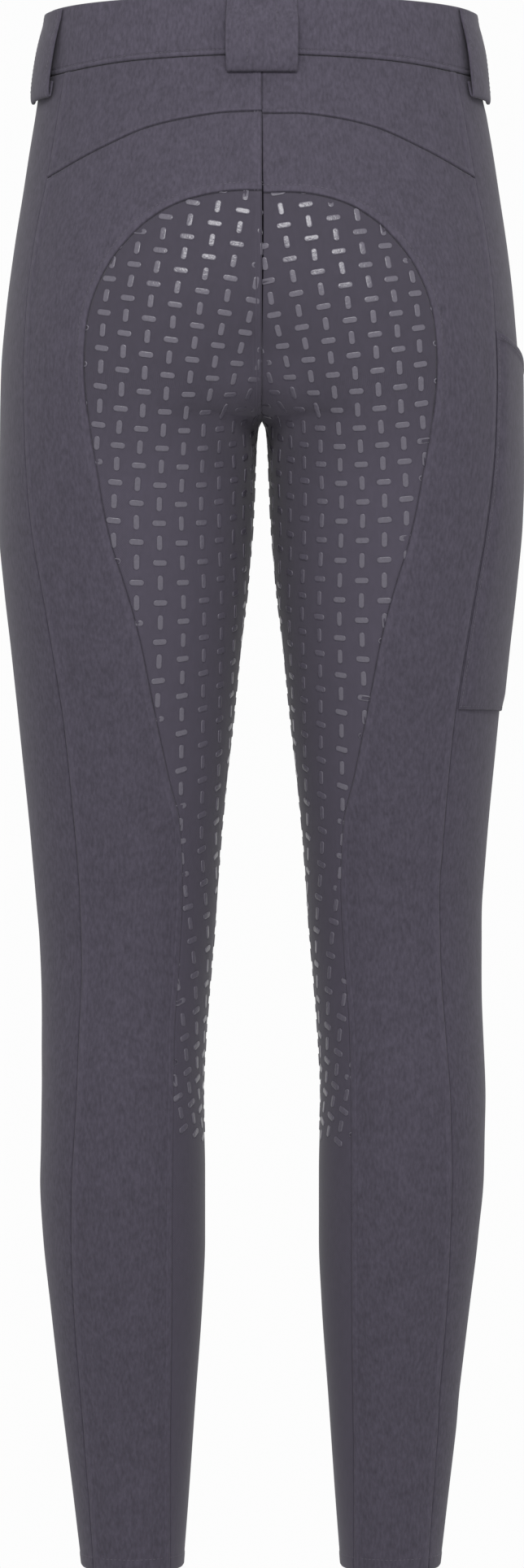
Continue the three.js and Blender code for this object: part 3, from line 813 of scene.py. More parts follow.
# %% The seam lines as points in space, and the relief that each panel takes from them
level = np.linspace(BAND_SEAM, HEM, 1400)
body_level = np.linspace(BAND_SEAM, CROTCH, 400)
leg_level = np.linspace(CROTCH, HEM, 1100)
seam_places = {
    "arch": arch_place(np.linspace(0, 1, 400)),
    "grip": (leg_level, grip_seam(leg_level)),
    "outer": (level, outer_seam(level)),
    "yoke": yoke_place(np.linspace(0, 1, 300)),
    "centre": (body_level, turn_at(CENTRE, body_level)),
    "front": (body_level, 2 * math.pi - turn_at(CENTRE, body_level)),
    "inseam": (leg_level, inseam_turn(leg_level)),
    "band": (np.full(1500, BAND_SEAM), np.linspace(-0.5 * math.pi, 1.5 * math.pi, 1500)),
    "hem": (np.full(400, HEM), np.linspace(0, 2 * math.pi, 400)),
}
# the jog: how deep, how far from the centre, and the levels below zero where it starts and ends
JOG, JOG_REACH, JOG_START, JOG_END = 1.5, 24, (22, 46), (125, 190)


def jogged(hand, z, turn):
    """On the right half, the seams meet the centre seam a little lower, as sewn by hand."""
    x = form_point(z, turn)[..., 0]
    near = groove(x, JOG_REACH) * step_up(-z, *JOG_START) * (1 - step_up(-z, *JOG_END))
    at_back = (np.mod(turn, 2 * math.pi) < math.pi) & (hand == "right")
    return z - np.where(at_back, JOG * near, 0)


seam_lines = {
    hand: {name: form_point(jogged(hand, z, turn), turn) for name, (z, turn) in seam_places.items()}
    for hand in HANDS
}

EDGE_ROW, HEM_ROW, CENTRE_ROWS = 5.0, 8.0, (2.3, 4.3)
DEEP, SOFT, SHALLOW = 0.8, 0.5, 0.2
ROW_SHADE = 0.5
# panel: its seams, each with its depth, the width of the allowance under it and its stitch rows
sewing = {
    "yoke": [("band", DEEP, 0, ()), ("yoke", DEEP, 2.2, ()), ("outer", SOFT, 5.4, (EDGE_ROW,))],
    "back_panel": [
        ("yoke", DEEP, 0, ()), ("outer", SOFT, 5.4, (EDGE_ROW,)), ("arch", DEEP, 4.6, (EDGE_ROW,)),
        ("grip", SOFT, 5.2, (EDGE_ROW,)),
    ],
    "seat_panel": [("arch", DEEP, 0, ()), ("grip", SOFT, 0, ()), ("inseam", SOFT, 0, ())],
    "front_panel": [
        ("band", DEEP, 0, ()), ("outer", SOFT, 0, ()), ("inseam", SOFT, 5.2, (EDGE_ROW,)),
    ],
}
HEM_TURN, HEM_TURN_WIDTH, HEM_RISE, HEM_ROW_DIP = 0.7, 0.8, 0.3, 0.25
LOWEST, HIGHEST = -1.0, 0.6


def panel_relief(name, points, hand):
    """(height of the face, distance for the painted seam shade, ridge over an allowance) for a
    panel.
    """
    height, ridge, nearest = np.zeros((3, *points.shape[:-1]))
    nearest += FAR_FROM_SEAM
    seams = list(sewing[name])
    if name == "front_panel":
        seams.append(("front", DEEP, 0, ()))
    else:
        depth = SHALLOW if name == "seat_panel" else SOFT
        under = (4.6, CENTRE_ROWS) if hand == "left" else (0, ())
        seams.append(("centre", depth, *under))
    for seam, depth, allowance, rows_of_stitches in seams:
        distance = nearest_distance(points, seam_lines[hand][seam])
        height = height + seam_relief(distance, depth, allowance, rows_of_stitches)
        # painted shade: darkest at a deep seam, lighter at a shallow one, and along each row of
        # stitches
        nearest = np.minimum(nearest, distance + 0.9 * (DEEP - depth))
        for row in rows_of_stitches:
            nearest = np.minimum(nearest, np.abs(distance - row) + ROW_SHADE)
        # the ridge over the allowance, where painted light makes the cloth paler
        if allowance:
            beyond = step_up(distance, allowance - 0.8, allowance)
            ridge = np.maximum(ridge, step_up(distance, 0.2, 1) * (1 - beyond))
    if name != "yoke":
        distance = nearest_distance(points, seam_lines[hand]["hem"])
        height = height - HEM_TURN * groove(distance, HEM_TURN_WIDTH)
        height = height + HEM_RISE * (1 - step_up(distance, HEM_ROW, HEM_ROW + 1.2))
        height = height - HEM_ROW_DIP * groove(distance - HEM_ROW, ROW_WIDTH)
        # painted shade along the hem's row of stitches
        nearest = np.minimum(nearest, np.abs(distance - HEM_ROW) + ROW_SHADE)
    return np.clip(height, LOWEST, HIGHEST), nearest, ridge


made = {}


def put_on(node, piece):
    """The piece takes the place of its plain solid and belongs to the one body."""
    made[node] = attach(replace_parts(piece, node), "root")


for name, (plan_z, turn) in panels.items():
    cloth = (grip_cloth, "grip_cloth") if name == "seat_panel" else (main_cloth, "main_cloth")
    for hand, side in HANDS.items():
        z = jogged(hand, plan_z, turn)
        surface, normal = form_point(z, turn), form_normal(z, turn)
        height, nearest, ridge = panel_relief(name, surface, hand)
        fold = fold_height(hand, z, turn)
        outer = surface + normal * (fold + height)[..., None]
        inner = surface + normal * (fold - CLOTH)[..., None]
        for face in (outer, inner):
            at_centre = surface[..., 0] < CENTRE + 0.01
            face[..., 0] = np.where(at_centre, 0, np.maximum(face[..., 0], 0))
        node = f"{name}_{hand}"
        piece = closed_sheet(f"{node}_cloth", outer, inner, cloth[0], side, nearest, ridge)
        put_on(node, piece)
        print(node, len(piece.data.polygons), "faces")

# %% [markdown]
# ## Waistband
#
# One band runs all the way round. It starts at the lapped end beside the centre front, goes round
# by the back and ends under its own start. Its edges are folded, so both faces round off there.


# %% Rounded edges and the band
def fullness(distance, radius):
    """How thick a folded edge is at a distance from it, as a share of the full thickness."""
    t = np.clip(distance / radius, 0, 1)
    return np.sqrt(np.maximum(1 - (1 - t) ** 2, 0.02))


def faces_between(z, turn, middle, half, dip=0):
    """The outer and inner face of a cloth from how far its middle stands off the form."""
    surface, normal = form_point(z, turn), form_normal(z, turn)
    outer = surface + normal * (middle + half + dip)[..., None]
    return outer, surface + normal * (middle - half)[..., None]


BAND_THICKNESS, BAND_LIFT, BAND_RADIUS = 2.5, 0.7, 131.0
LAP, UNDERLAP, LAP_RAMP, RAMP_GAP = 15.0, 12.0, 22.0, 1.2
LAP_RISE = BAND_THICKNESS + 0.5
FRONT = -math.pi / 2
BAND_ROW, BAND_ROW_DIP = 3.1, 0.4
BAND_SEAM_DIP, BAND_SEAM_WIDTH, BAND_EDGE = 0.9, 0.8, 1.3


def band_turn(distance):
    return distance / BAND_RADIUS


def waistband():
    start, end = FRONT - band_turn(LAP), FRONT + 2 * math.pi + band_turn(UNDERLAP)
    near = band_turn(np.array([0, 0.25, 0.6, 1.1, 1.8]))
    between = np.linspace(start + 0.03, end - 0.03, 320)
    turns = np.concatenate([start + near, between, end - near[::-1]])
    down = np.array([0, 0.2, 0.5, 0.9, 1.5, 2.3, 3.5])
    up = np.array([0.12, 0.5, 1, 1.6, 2.2, 2.8, 3.2, 3.5, 3.8, 4.2, 4.8, 5.6, 6.8])
    levels = np.concatenate([BAND_TOP - down, np.linspace(13, -9.5, 14), BAND_SEAM + up[::-1]])
    z, turn = np.meshgrid(levels, turns, indexing="ij")
    ramp = (turn - FRONT - band_turn(UNDERLAP + RAMP_GAP)) / band_turn(LAP_RAMP)
    lift = BAND_LIFT + LAP_RISE * (1 - step_up(ramp, 0, 1))
    from_top, from_seam = BAND_TOP - z, z - BAND_SEAM
    from_end = np.minimum(turn - start, end - turn) * BAND_RADIUS
    full = fullness(from_top, BAND_EDGE) * fullness(from_end, BAND_EDGE)
    dip = -BAND_SEAM_DIP * groove(from_seam, BAND_SEAM_WIDTH)
    dip = dip - BAND_ROW_DIP * groove(from_seam - BAND_ROW, ROW_WIDTH)
    half = BAND_THICKNESS / 2
    faces = faces_between(z, turn, lift - half, half * full, dip)
    # painted shade along the band's seam and its row of stitches, and painted light on the ridge
    # above the seam
    shade = np.minimum(np.maximum(from_seam, 0), np.abs(from_seam - BAND_ROW) + ROW_SHADE)
    ridge = step_up(from_seam, 0.3, 1.1) * (1 - step_up(from_seam, 2, 2.8))
    return closed_sheet("waistband_cloth", *faces, band_cloth, 1, shade, ridge)


put_on("waistband", waistband())
low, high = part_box("waistband")
print("the band's solid is", round((high.z - low.z) / MM, 1), "mm tall")

# %% [markdown]
# ## Thigh pocket and fly
#
# The pocket is a patch on the wearer's right thigh. Its back edge is caught in the outer seam, its
# mouth falls towards the front and has a hem, and it stands off a little between its sewn edges.
# The fly is a folded flap that narrows in a curve at its foot, on the front, which the picture
# doesn't show.

# %% Pocket
POCKET_MOUTH, POCKET_FALL, POCKET_FOOT, POCKET_WIDTH = -181.5, 0.26, -410.0, 92.0
POCKET_START = 1.0
POCKET_THICKNESS, POCKET_EDGE, POCKET_LIFT = 1.4, 1.5, 2.5
POCKET_CAUGHT, POCKET_THIN = 0.75, 0.5
POCKET_DEPTH = 228
MOUTH_HEM, HEM_FOLD, MOUTH_ROW_DIP, POCKET_ROW_DIP = 4.6, 0.5, 0.35, 0.2
MOUTH_BULGE, BULGE_REACH = 0.4, 40


def caught(across):
    """0 at the pocket's back edge, which is caught in the outer seam, and 1 where it lies free."""
    return step_up(across, POCKET_START, 8)


def phone_pocket():
    near = np.array([0, 0.25, 0.6, 1.1, 1.8, 2.6, 3.4, 4.2, 5])
    across = np.linspace(6, POCKET_WIDTH - 5, 32)
    across = np.concatenate([POCKET_START + near[:-1], across, POCKET_WIDTH - near[-2::-1]])
    mouth = POCKET_MOUTH - POCKET_FALL * across
    length = mouth - POCKET_FOOT
    hem = np.array([0, 0.25, 0.6, 1.1, 2, 2.8, 3.4, 3.9, 4.3, 4.7, 5.2, 6, 8, 11])
    down = np.linspace(14, POCKET_DEPTH - 6, 74)
    down = np.concatenate([hem, down, POCKET_DEPTH - near[-2::-1]]) / POCKET_DEPTH
    z = mouth[None, :] - length[None, :] * down[:, None]
    turn = turn_after(z, outer_seam(z), np.broadcast_to(across, z.shape))
    from_mouth = (mouth[None, :] - z) * math.cos(math.atan(POCKET_FALL))
    side_room = np.minimum(across - POCKET_START, POCKET_WIDTH - across)[None, :]
    room = np.minimum(side_room, z - POCKET_FOOT)
    open_edge = 1 - step_up(from_mouth, 0, BULGE_REACH)
    lift = POCKET_EDGE + (POCKET_LIFT - POCKET_EDGE) * step_up(room, 1, 12)
    lift = lift + MOUTH_BULGE * open_edge * step_up(side_room, 4, BULGE_REACH)
    lift = lift + HEM_FOLD * (1 - step_up(from_mouth, MOUTH_HEM, MOUTH_HEM + 0.9))
    lift = lift - MOUTH_ROW_DIP * groove(from_mouth - MOUTH_HEM + 1, ROW_WIDTH)
    lift = lift - POCKET_ROW_DIP * groove(room - 2, ROW_WIDTH) * (from_mouth > MOUTH_HEM)
    full = fullness(np.minimum(from_mouth, room), 0.9)
    lift = POCKET_CAUGHT + (lift - POCKET_CAUGHT) * caught(across)
    half = (POCKET_THIN + (POCKET_THICKNESS - POCKET_THIN) * caught(across)) / 2
    faces = faces_between(z, turn, lift - half, half * full)
    # painted shade along the pocket's front edge, its foot and the row of its mouth hem
    edge = np.minimum(POCKET_WIDTH - across, z - POCKET_FOOT)
    edge = np.minimum(edge, np.abs(from_mouth - MOUTH_HEM) + 0.3)
    return closed_sheet("phone_pocket_cloth", *faces, main_cloth, -1, edge)


put_on("phone_pocket", phone_pocket())
print("the pocket is", POCKET_WIDTH, "mm wide")

# %% Fly
FLY_WIDTH, FLY_FOOT_WIDTH, FLY_CURVE, FLY_TOP, FLY_FOOT = 34.0, 10.0, -125.0, -18.6, -165.0
FLY_START, FLY_THICKNESS, FLY_LIFT = 0.3, 1.2, 1.6
FLY_ROW, FLY_ROW_DIP = 5.0, 0.18


def fly_width(z):
    down = np.clip((z - FLY_CURVE) / (FLY_FOOT - FLY_CURVE), 0, 1)
    return FLY_FOOT_WIDTH + (FLY_WIDTH - FLY_FOOT_WIDTH) * np.sqrt(1 - down**2)


def fly_flap():
    levels = np.concatenate([
        FLY_TOP - np.array([0, 0.3, 0.8]), np.linspace(FLY_TOP - 2, FLY_CURVE, 44),
        np.linspace(FLY_CURVE, FLY_FOOT + 1, 24)[1:], FLY_FOOT + np.array([0.6, 0.3, 0]),
    ])
    width = fly_width(levels)[:, None]
    x = FLY_START + (width - FLY_START) * spread(34, step=2.5)[None, :]
    z = np.broadcast_to(levels[:, None], x.shape)
    room = np.minimum(np.minimum(x - FLY_START, width - x), np.minimum(FLY_TOP - z, z - FLY_FOOT))
    half = FLY_THICKNESS / 2
    middle = FLY_LIFT - half - FLY_ROW_DIP * groove(width - x - FLY_ROW, ROW_WIDTH)
    turn = 2 * math.pi - turn_at(x, z)
    faces = faces_between(z, turn, middle, half * fullness(room, 0.8))
    # painted shade close to the flap's edges
    return closed_sheet("fly_flap_cloth", *faces, main_cloth, -1, np.maximum(room, 0))


put_on("fly_flap", fly_flap())
print("the fly reaches down to", FLY_FOOT, "mm")

# %% [markdown]
# ## Belt loops
#
# Each loop is a wide strap, sewn in at the top of the band, bowed out over it and folded under
# just below it. It is swept along its path in small steps, and the path goes round the fold.

# %% Loops
LOOP_WIDTH, LOOP_THICKNESS = 42.0, 1.3
# z, how far the strap's middle stands off the form, share of any extra bow
loop_path = [
    (16.2, 1.9, 0), (10, 2, 0.05), (3, 2.9, 0.5), (-6, 3.7, 0.9), (-15, 4, 1), (-24, 4, 1),
    (-31, 3.7, 0.7), (-35.5, 3.1, 0.3), (-37.3, 2.15, 0), (-35.7, 1.25, 0), (-28, 1.15, 0),
]
back_loop_path = [
    (16.2, 1.9, 0), (11, 2, 0.1), (5, 2.9, 0.55), (-1, 3.7, 0.9), (-8, 4, 1), (-15, 4, 1),
    (-21.5, 3.8, 0.8), (-26.8, 3.1, 0.3), (-28.8, 2.15, 0), (-27.2, 1.25, 0), (-20, 1.15, 0),
]
# which loop: its path, how much more it bows out, and how straight it stands across
loop_forms = {
    "back": (back_loop_path, 2.9, 1.0), "side": (loop_path, 0, 0), "front": (loop_path, 0, 0),
}
loop_turns = {"back": math.pi / 2, "side": math.radians(169), "front": math.radians(243)}
HALF_LOOP = LOOP_WIDTH / 2
near = np.array([0, 0.2, 0.5, 0.9, 1.5])
between = np.linspace(-HALF_LOOP + 2.4, HALF_LOOP - 2.4, 17)
loop_offsets = np.concatenate([-HALF_LOOP + near, between, HALF_LOOP - near[::-1]])


def loop_faces(which, depth, rows=84):
    """A face of the strap, a depth off its middle, a row of points for each step of its path."""
    centre, (plan, bow, flatness) = loop_turns[which], loop_forms[which]
    path = through_points(plan, rows)
    along = np.gradient(path[:, :2], axis=0)
    along = along / np.linalg.norm(along, axis=1, keepdims=True)
    z = np.broadcast_to(path[:, 0][:, None], (rows, len(loop_offsets)))
    turn = turn_after(z, np.full(z.shape, centre), np.broadcast_to(loop_offsets, z.shape))
    middle, outward = form_point(BAND_SEAM, centre), form_normal(BAND_SEAM, centre)
    hollow = (middle - form_point(np.full(turn.shape, BAND_SEAM), turn)) @ outward
    offset = depth * fullness(HALF_LOOP - np.abs(loop_offsets), 0.8)[None, :]
    lift = path[:, 1][:, None] + path[:, 2][:, None] * (bow + flatness * hollow)
    lift = lift - along[:, 0][:, None] * offset
    at = z + along[:, 1][:, None] * offset
    return form_point(at, turn) + form_normal(at, turn) * lift[..., None]


def belt_loop(name, which, side):
    faces = [loop_faces(which, s * LOOP_THICKNESS / 2) for s in (1, -1)]
    put_on(name, closed_sheet(f"{name}_strap", *faces, band_cloth, side, dips=False))


belt_loop("belt_loop_back", "back", 1)
for hand, side in HANDS.items():
    for which in ("side", "front"):
        belt_loop(f"belt_loop_{which}_{hand}", which, side)
print("loops:", sum("loop" in name for name in made))

# %% [markdown]
# ## Button
#
# The button is a small turned disc with a raised rim and a dished middle, and it is spun from its
# outline. Two crossing threads hold it.


# %% Button on the lapped end
BUTTON_RADIUS, BUTTON_HEIGHT = 7.5, 3.2
THREAD_BAR, THREAD_LEVEL = (3.0, 0.55, 0.5, 1), 2.15


def waist_button():
    outward = Vector(form_normal(0.0, FRONT).tolist())
    foot = Vector(form_point(0.0, FRONT).tolist()) + outward * (BAND_LIFT + LAP_RISE + 0.3)
    r, h = BUTTON_RADIUS, BUTTON_HEIGHT
    outline = [
        (0, 0), (r - 1.2, 0), (r - 0.3, 0.5), (r, 1.2),
        (r - 0.1, 2.4), (r - 0.6, 3.0), (r - 1.3, h),
        (r - 2.0, 3.0), (r - 2.6, 2.3), (r - 3.4, 2.0), (0, 1.9),
    ]
    shape = bmesh.new()
    ring = [shape.verts.new((radius, 0, height)) for radius, height in outline]
    edges = [shape.edges.new(pair) for pair in zip(ring, ring[1:])]
    spin = {"axis": (0, 0, 1), "cent": (0, 0, 0), "angle": 2 * math.pi, "steps": 48}
    bmesh.ops.spin(shape, geom=ring + edges, **spin)
    bmesh.ops.remove_doubles(shape, verts=shape.verts, dist=1e-4)
    for turned in (1, -1):
        bar = bmesh.ops.create_uvsphere(shape, u_segments=10, v_segments=8, radius=1)
        crossed = Matrix.Rotation(turned * math.pi / 4, 4, "Z") @ Matrix.Diagonal(THREAD_BAR)
        placed = Matrix.Translation((0, 0, THREAD_LEVEL)) @ crossed
        bmesh.ops.transform(shape, matrix=placed, verts=bar["verts"])
    bmesh.ops.recalc_face_normals(shape, faces=shape.faces)
    turn = outward.to_track_quat("Z", "Y").to_matrix().to_4x4()
    shape.transform(Matrix.Scale(MM, 4) @ Matrix.Translation(foot) @ turn)
    mesh = bpy.data.meshes.new("waist_button_turned")
    shape.to_mesh(mesh)
    shape.free()
    mesh.materials.append(plastic)
    mesh.polygons.foreach_set("use_smooth", np.ones(len(mesh.polygons), bool))
    return in_scene("waist_button_turned", mesh)


put_on("waist_button", waist_button())
print("button radius:", BUTTON_RADIUS, "mm")

# %% [markdown]
# ## Printed grip dashes
#
# The grip is a print of short round-ended dashes in a square net, upright and level ones by turns.
# The net is straight on the flat cloth. Worn, it is stretched over the seat and leans away from
# the centre, so its places follow from a table: for each level the row number, the column number
# at the middle of the leg, the width of a column and the slope of a row. The places of whole
# numbers are found from it step by step, and Geometry Nodes put a dash at each of them, lay it on
# a hidden carrier surface, and sink it under the neighbouring panel where a seam cuts it.

# %% The net of the print
# z, column number at the deepest line of the leg, columns per 50 mm outward and how that grows,
# row number there, rows per 50 mm outward and how that grows
net_levels = np.array([
    (-90, -0.17, 3.18, 0.01, -4.44, 1.11, -0.08), (-125, 0.65, 3.28, 0.05, -0.74, 0.76, -0.09),
    (-165, 1.69, 3.33, 0.12, 3.41, 0.75, -0.04), (-205, 2.82, 3.64, 0.06, 7.45, 0.56, 0.19),
    (-235, 3.40, 3.78, 0.17, 10.23, 0.38, 0.39), (-270, 3.61, 3.79, 0.23, 13.50, 0.40, 0.39),
    (-305, 3.62, 3.74, 0.23, 16.59, 0.35, 0.35), (-345, 3.59, 3.62, 0.28, 19.88, 0.15, 0.29),
    (-410, 3.34, 3.36, 0.25, 25.19, -0.56, 0.22), (-480, 3.19, 3.20, 0.27, 31.05, -1.26, 0.12),
    (-550, 3.74, 3.27, 0.32, 37.72, -1.55, -0.18), (-635, 5.90, 3.90, 0.04, 44.48, -2.14, -0.10),
    (-680, 6.71, 3.88, 0.15, 48.31, -2.50, -0.04),
])
net_curves = [curve_through(net_levels, 0, k) for k in range(1, 7)]
NET_UNIT = 50.0
PRINT_END = -672.0
DASH_LENGTH, DASH_WIDTH, DASH_HEIGHT = 9.0, 3.5, 0.45
UPRIGHT_SHARE = 0.77


def net_numbers(z, arc):
    """Column and row number at a level and a distance outward from the deepest line."""
    out = arc / NET_UNIT
    column, per_unit, more, row, row_per_unit, row_more = (curve(z) for curve in net_curves)
    return column + per_unit * out + more * out**2, row + row_per_unit * out + row_more * out**2


def arc_at(z, turn):
    """Distance outward from the deepest line of the leg to a turn, along the form."""
    share = np.linspace(0, 1, 33)
    between = math.pi / 2 + (np.asarray(turn)[..., None] - math.pi / 2) * share
    line = form_point(np.asarray(z)[..., None], between)
    run = np.linalg.norm(np.diff(line, axis=-2), axis=-1).sum(-1)
    return np.where(turn > math.pi / 2, run, -run)


def net_slopes(z, turn, step_turn, step_z=0.5):
    """The net's numbers at a place, and a way to turn a move on the net into one on the form."""
    column, row = net_numbers(z, arc_at(z, turn))
    column_up, row_up = net_numbers(z + step_z, arc_at(z + step_z, turn))
    column_on, row_on = net_numbers(z, arc_at(z, turn + step_turn))
    a, b = (column_up - column) / step_z, (column_on - column) / step_turn
    c, d = (row_up - row) / step_z, (row_on - row) / step_turn
    flat = a * d - b * c

    def move(columns, rows):
        return (d * columns - b * rows) / flat, (a * rows - c * columns) / flat

    return column, row, move


LONGEST_STEP = (40, 0.4)
NET_LEVELS, NET_TURNS = (PRINT_END - 15, -85), (-0.9, 3.0)
NET_MISS = 0.05


def net_places(columns, rows):
    """The (z, turn) of whole column and row numbers, found step by step from a first guess."""
    column, row = (grid.ravel().astype(float) for grid in np.meshgrid(columns, rows))
    z = np.interp(row, net_levels[:, 4], net_levels[:, 0])
    turn = np.full(z.shape, math.pi / 2)
    for _ in range(12):
        p, q, move = net_slopes(z, turn, 0.01)
        miss = column - p, row - q
        dz, dt = (np.clip(d, -most, most) for d, most in zip(move(*miss), LONGEST_STEP))
        z, turn = np.clip(z + dz, *NET_LEVELS), np.clip(turn + dt, *NET_TURNS)
    found = (np.abs(miss[0]) < NET_MISS) & (np.abs(miss[1]) < NET_MISS)
    return z[found], turn[found], column[found], row[found]


seat_numbers = [round(float(n), 2) for n in net_numbers(-168, 0)]
print("net numbers at the seat's fullest point:", seat_numbers)

# %% [markdown]
# ## A recipe of nodes
#
# Geometry Nodes make what repeats. One helper builds a tree, and another runs it: it gives the tree
# to a modifier, fills in its inputs by their identifiers before anything is worked out, turns the
# result into a plain mesh and throws the modifier's host away.


# %% Build and run a tree of geometry nodes
class Recipe:
    def __init__(self, name, **inputs):
        self.tree = bpy.data.node_groups.new(name, "GeometryNodeTree")
        self.faces = self.tree.interface
        self.faces.new_socket("Geometry", in_out="INPUT", socket_type="NodeSocketGeometry")
        for label, kind in inputs.items():
            self.faces.new_socket(label, in_out="INPUT", socket_type=f"NodeSocket{kind}")
        self.faces.new_socket("Geometry", in_out="OUTPUT", socket_type="NodeSocketGeometry")
        self.start = self.tree.nodes.new("NodeGroupInput")
        self.end = self.tree.nodes.new("NodeGroupOutput")

    def given(self, label):
        return self.start.outputs[label]

    def node(self, kind, settings=None, inputs=None):
        node = self.tree.nodes.new(kind)
        for name, value in (settings or {}).items():
            setattr(node, name, value)
        for place, value in (inputs or {}).items():
            if isinstance(value, bpy.types.NodeSocket):
                self.tree.links.new(value, node.inputs[place])
            else:
                node.inputs[place].default_value = value
        return node

    def made_by(self, kind, settings=None, inputs=None, output=0):
        return self.node(kind, settings, inputs).outputs[output]

    def named(self, attribute, kind="FLOAT_VECTOR"):
        settings = {"data_type": kind}
        return self.made_by("GeometryNodeInputNamedAttribute", settings, {"Name": attribute})

    def maths(self, operation, first, second):
        return self.made_by("ShaderNodeMath", {"operation": operation}, {0: first, 1: second})

    def form_of(self, label):
        return self.made_by("GeometryNodeObjectInfo", None, {0: self.given(label)}, "Geometry")

    def aimed(self, up, along):
        """A turn that points Z one way and X another."""
        axes = {"primary_axis": "Z", "secondary_axis": "X"}
        return self.made_by("FunctionNodeAxesToRotation", axes, {0: up, 1: along})

    def finish_with(self, geometry):
        """Real geometry with its material, as the export needs it."""
        real = self.made_by("GeometryNodeRealizeInstances", None, {0: geometry})
        coat = {0: real, "Material": self.given("Material")}
        coated = self.made_by("GeometryNodeSetMaterial", None, coat)
        self.tree.links.new(coated, self.end.inputs[0])


def run_recipe(name, recipe, host, **values):
    """The plain mesh object that a recipe makes from its host object."""
    modifier = host.modifiers.new("recipe", "NODES")
    modifier.node_group = recipe.tree
    for item in recipe.faces.items_tree:
        if item.item_type == "SOCKET" and item.in_out == "INPUT" and item.name in values:
            modifier[item.identifier] = values[item.name]
    host.update_tag()
    evaluated = host.evaluated_get(bpy.context.evaluated_depsgraph_get())
    mesh = bpy.data.meshes.new_from_object(evaluated)
    mesh.name = name
    host.modifiers.remove(modifier)
    bpy.data.objects.remove(host)
    return in_scene(name, mesh)


def bare_mesh(name, points, edges=(), faces=(), **attributes):
    """A helper object from points in millimetres, with a value or a vector for each point."""
    mesh = bpy.data.meshes.new(name)
    mesh.from_pydata((np.asarray(points) * MM).tolist(), list(edges), list(faces))
    for label, values in attributes.items():
        values = np.asarray(values, np.float32)
        kind, key = ("FLOAT_VECTOR", "vector") if values.ndim == 2 else ("FLOAT", "value")
        mesh.attributes.new(label, kind, "POINT").data.foreach_set(key, values.ravel())
    return in_scene(name, mesh)


def ringed_shape(name, rings):
    """A closed smooth form from equal rings of points, first to last, with each point's height."""
    count = len(rings[0])
    points = np.concatenate([np.asarray(ring, float) for ring in rings])
    at = np.arange(len(points)).reshape(len(rings), count)
    faces = grid_faces(np.concatenate([at, at[:, :1]], axis=1)).tolist()
    faces += [at[-1].tolist(), at[0, ::-1].tolist()]
    shape = bare_mesh(name, points, faces=faces, height=points[:, 2])
    shape.data.polygons.foreach_set("use_smooth", [True] * len(faces))
    return shape


print("helpers ready")

# %% [markdown]
# ## One dash
#
# A dash is a low pill of silicone: straight sides, round ends, a flat top with a soft shoulder. It
# is lying along X here, and it has only about forty faces, because there are hundreds of it.


# %% The dash
DASH_ROOT = -0.25


def pill_outline(length, width, height, bend=7):
    half, radius = (length - width) / 2, width / 2
    turns = np.linspace(-math.pi / 2, math.pi / 2, bend)
    return [
        (end * (half + radius * math.cos(a)), end * radius * math.sin(a), height)
        for end in (1, -1)
        for a in turns
    ]


def dash_shape():
    # how much narrower each ring is than the dash, and its height
    rings = [(0, DASH_ROOT), (0, 0.55 * DASH_HEIGHT), (0.5, 0.95 * DASH_HEIGHT), (1.3, DASH_HEIGHT)]
    outlines = [pill_outline(DASH_LENGTH - less, DASH_WIDTH - less, h) for less, h in rings]
    return ringed_shape("dash", outlines)


dash = dash_shape()
print("faces in a dash:", len(dash.data.polygons))

# %% [markdown]
# ## The print on the cloth
#
# The places come from the net, each with the direction along its row or column. The tree puts a
# dash at every place, turns it to lie flat and then moves every point of it on to the carrier, the
# smooth surface under the grip panel, so that it bends round the leg. A value on the carrier says
# how far a point is inside the seams. Beyond a seam the dash sinks under the next panel, and what
# is well past it is cut away, so a seam cuts a dash as it does on the real panel.

# %% Carrier and places
SINK_REACH, SINK_DEPTH, CUT_BEYOND = 0.5, 1.6, -1.2
CARRIER_TOP, CARRIER_MARGIN, CARRIER_SPARE = -90, 12, 9.0
PLACES_TOP, PLACES_BEYOND = -92, -4.5
# the arch's line leads outward on its first points, and it is nearly upright below this level
ARCH_OUTWARD, ARCH_UPRIGHT = 250, -150


def inner_edge(z):
    return np.where(z > CROTCH, centre_turn(z), inseam_turn(z))


def arch_x(z):
    return np.interp(z, arch_fine[::-1, 1], arch_fine[::-1, 0])


def print_carrier(name, hand, side):
    z = np.linspace(CARRIER_TOP, PRINT_END - CARRIER_MARGIN, 240)
    outer = turn_at(np.maximum(np.where(z > CROTCH, arch_x(z), grip_seam_x(z)), 25), z)
    spare = np.full(z.shape, CARRIER_SPARE)
    low, high = turn_after(z, inner_edge(z), -spare), turn_after(z, outer, spare)
    turn = low[:, None] + (high - low)[:, None] * np.linspace(0, 1, 64)
    z = np.broadcast_to(z[:, None], turn.shape)
    surface, normal = form_point(z, turn), form_normal(z, turn)
    room = signed_room(hand, z, turn, surface)
    surface = surface + normal * fold_height(hand, z, turn)[..., None]
    surface, normal = ((vectors * (side, 1, 1)).reshape(-1, 3) for vectors in (surface, normal))
    faces = grid_faces(np.arange(z.size).reshape(z.shape)).tolist()
    return bare_mesh(name, worn(surface), faces=faces, out=normal, room=room.ravel())


def signed_room(hand, z, turn, surface):
    """Millimetres inside the grip panel's seams, negative beyond them."""
    line = np.concatenate([seam_lines[hand]["arch"], seam_lines[hand]["grip"][1:]])
    from_grip = nearest_distance(surface, line)
    x = surface[..., 0]
    over_arch = np.interp(x, line[:ARCH_OUTWARD, 0], line[:ARCH_OUTWARD, 2])
    under_arch = (x < arch_x(z)) & ((z < over_arch) | (z < ARCH_UPRIGHT))
    inside = np.where(z < CROTCH, turn < grip_seam(z), under_arch)
    from_grip = np.where(inside, from_grip, -from_grip)
    probe = 0.01
    run = np.linalg.norm(form_point(z, turn + probe) - surface, axis=-1) / probe
    return np.minimum(from_grip, (turn - inner_edge(z)) * run)


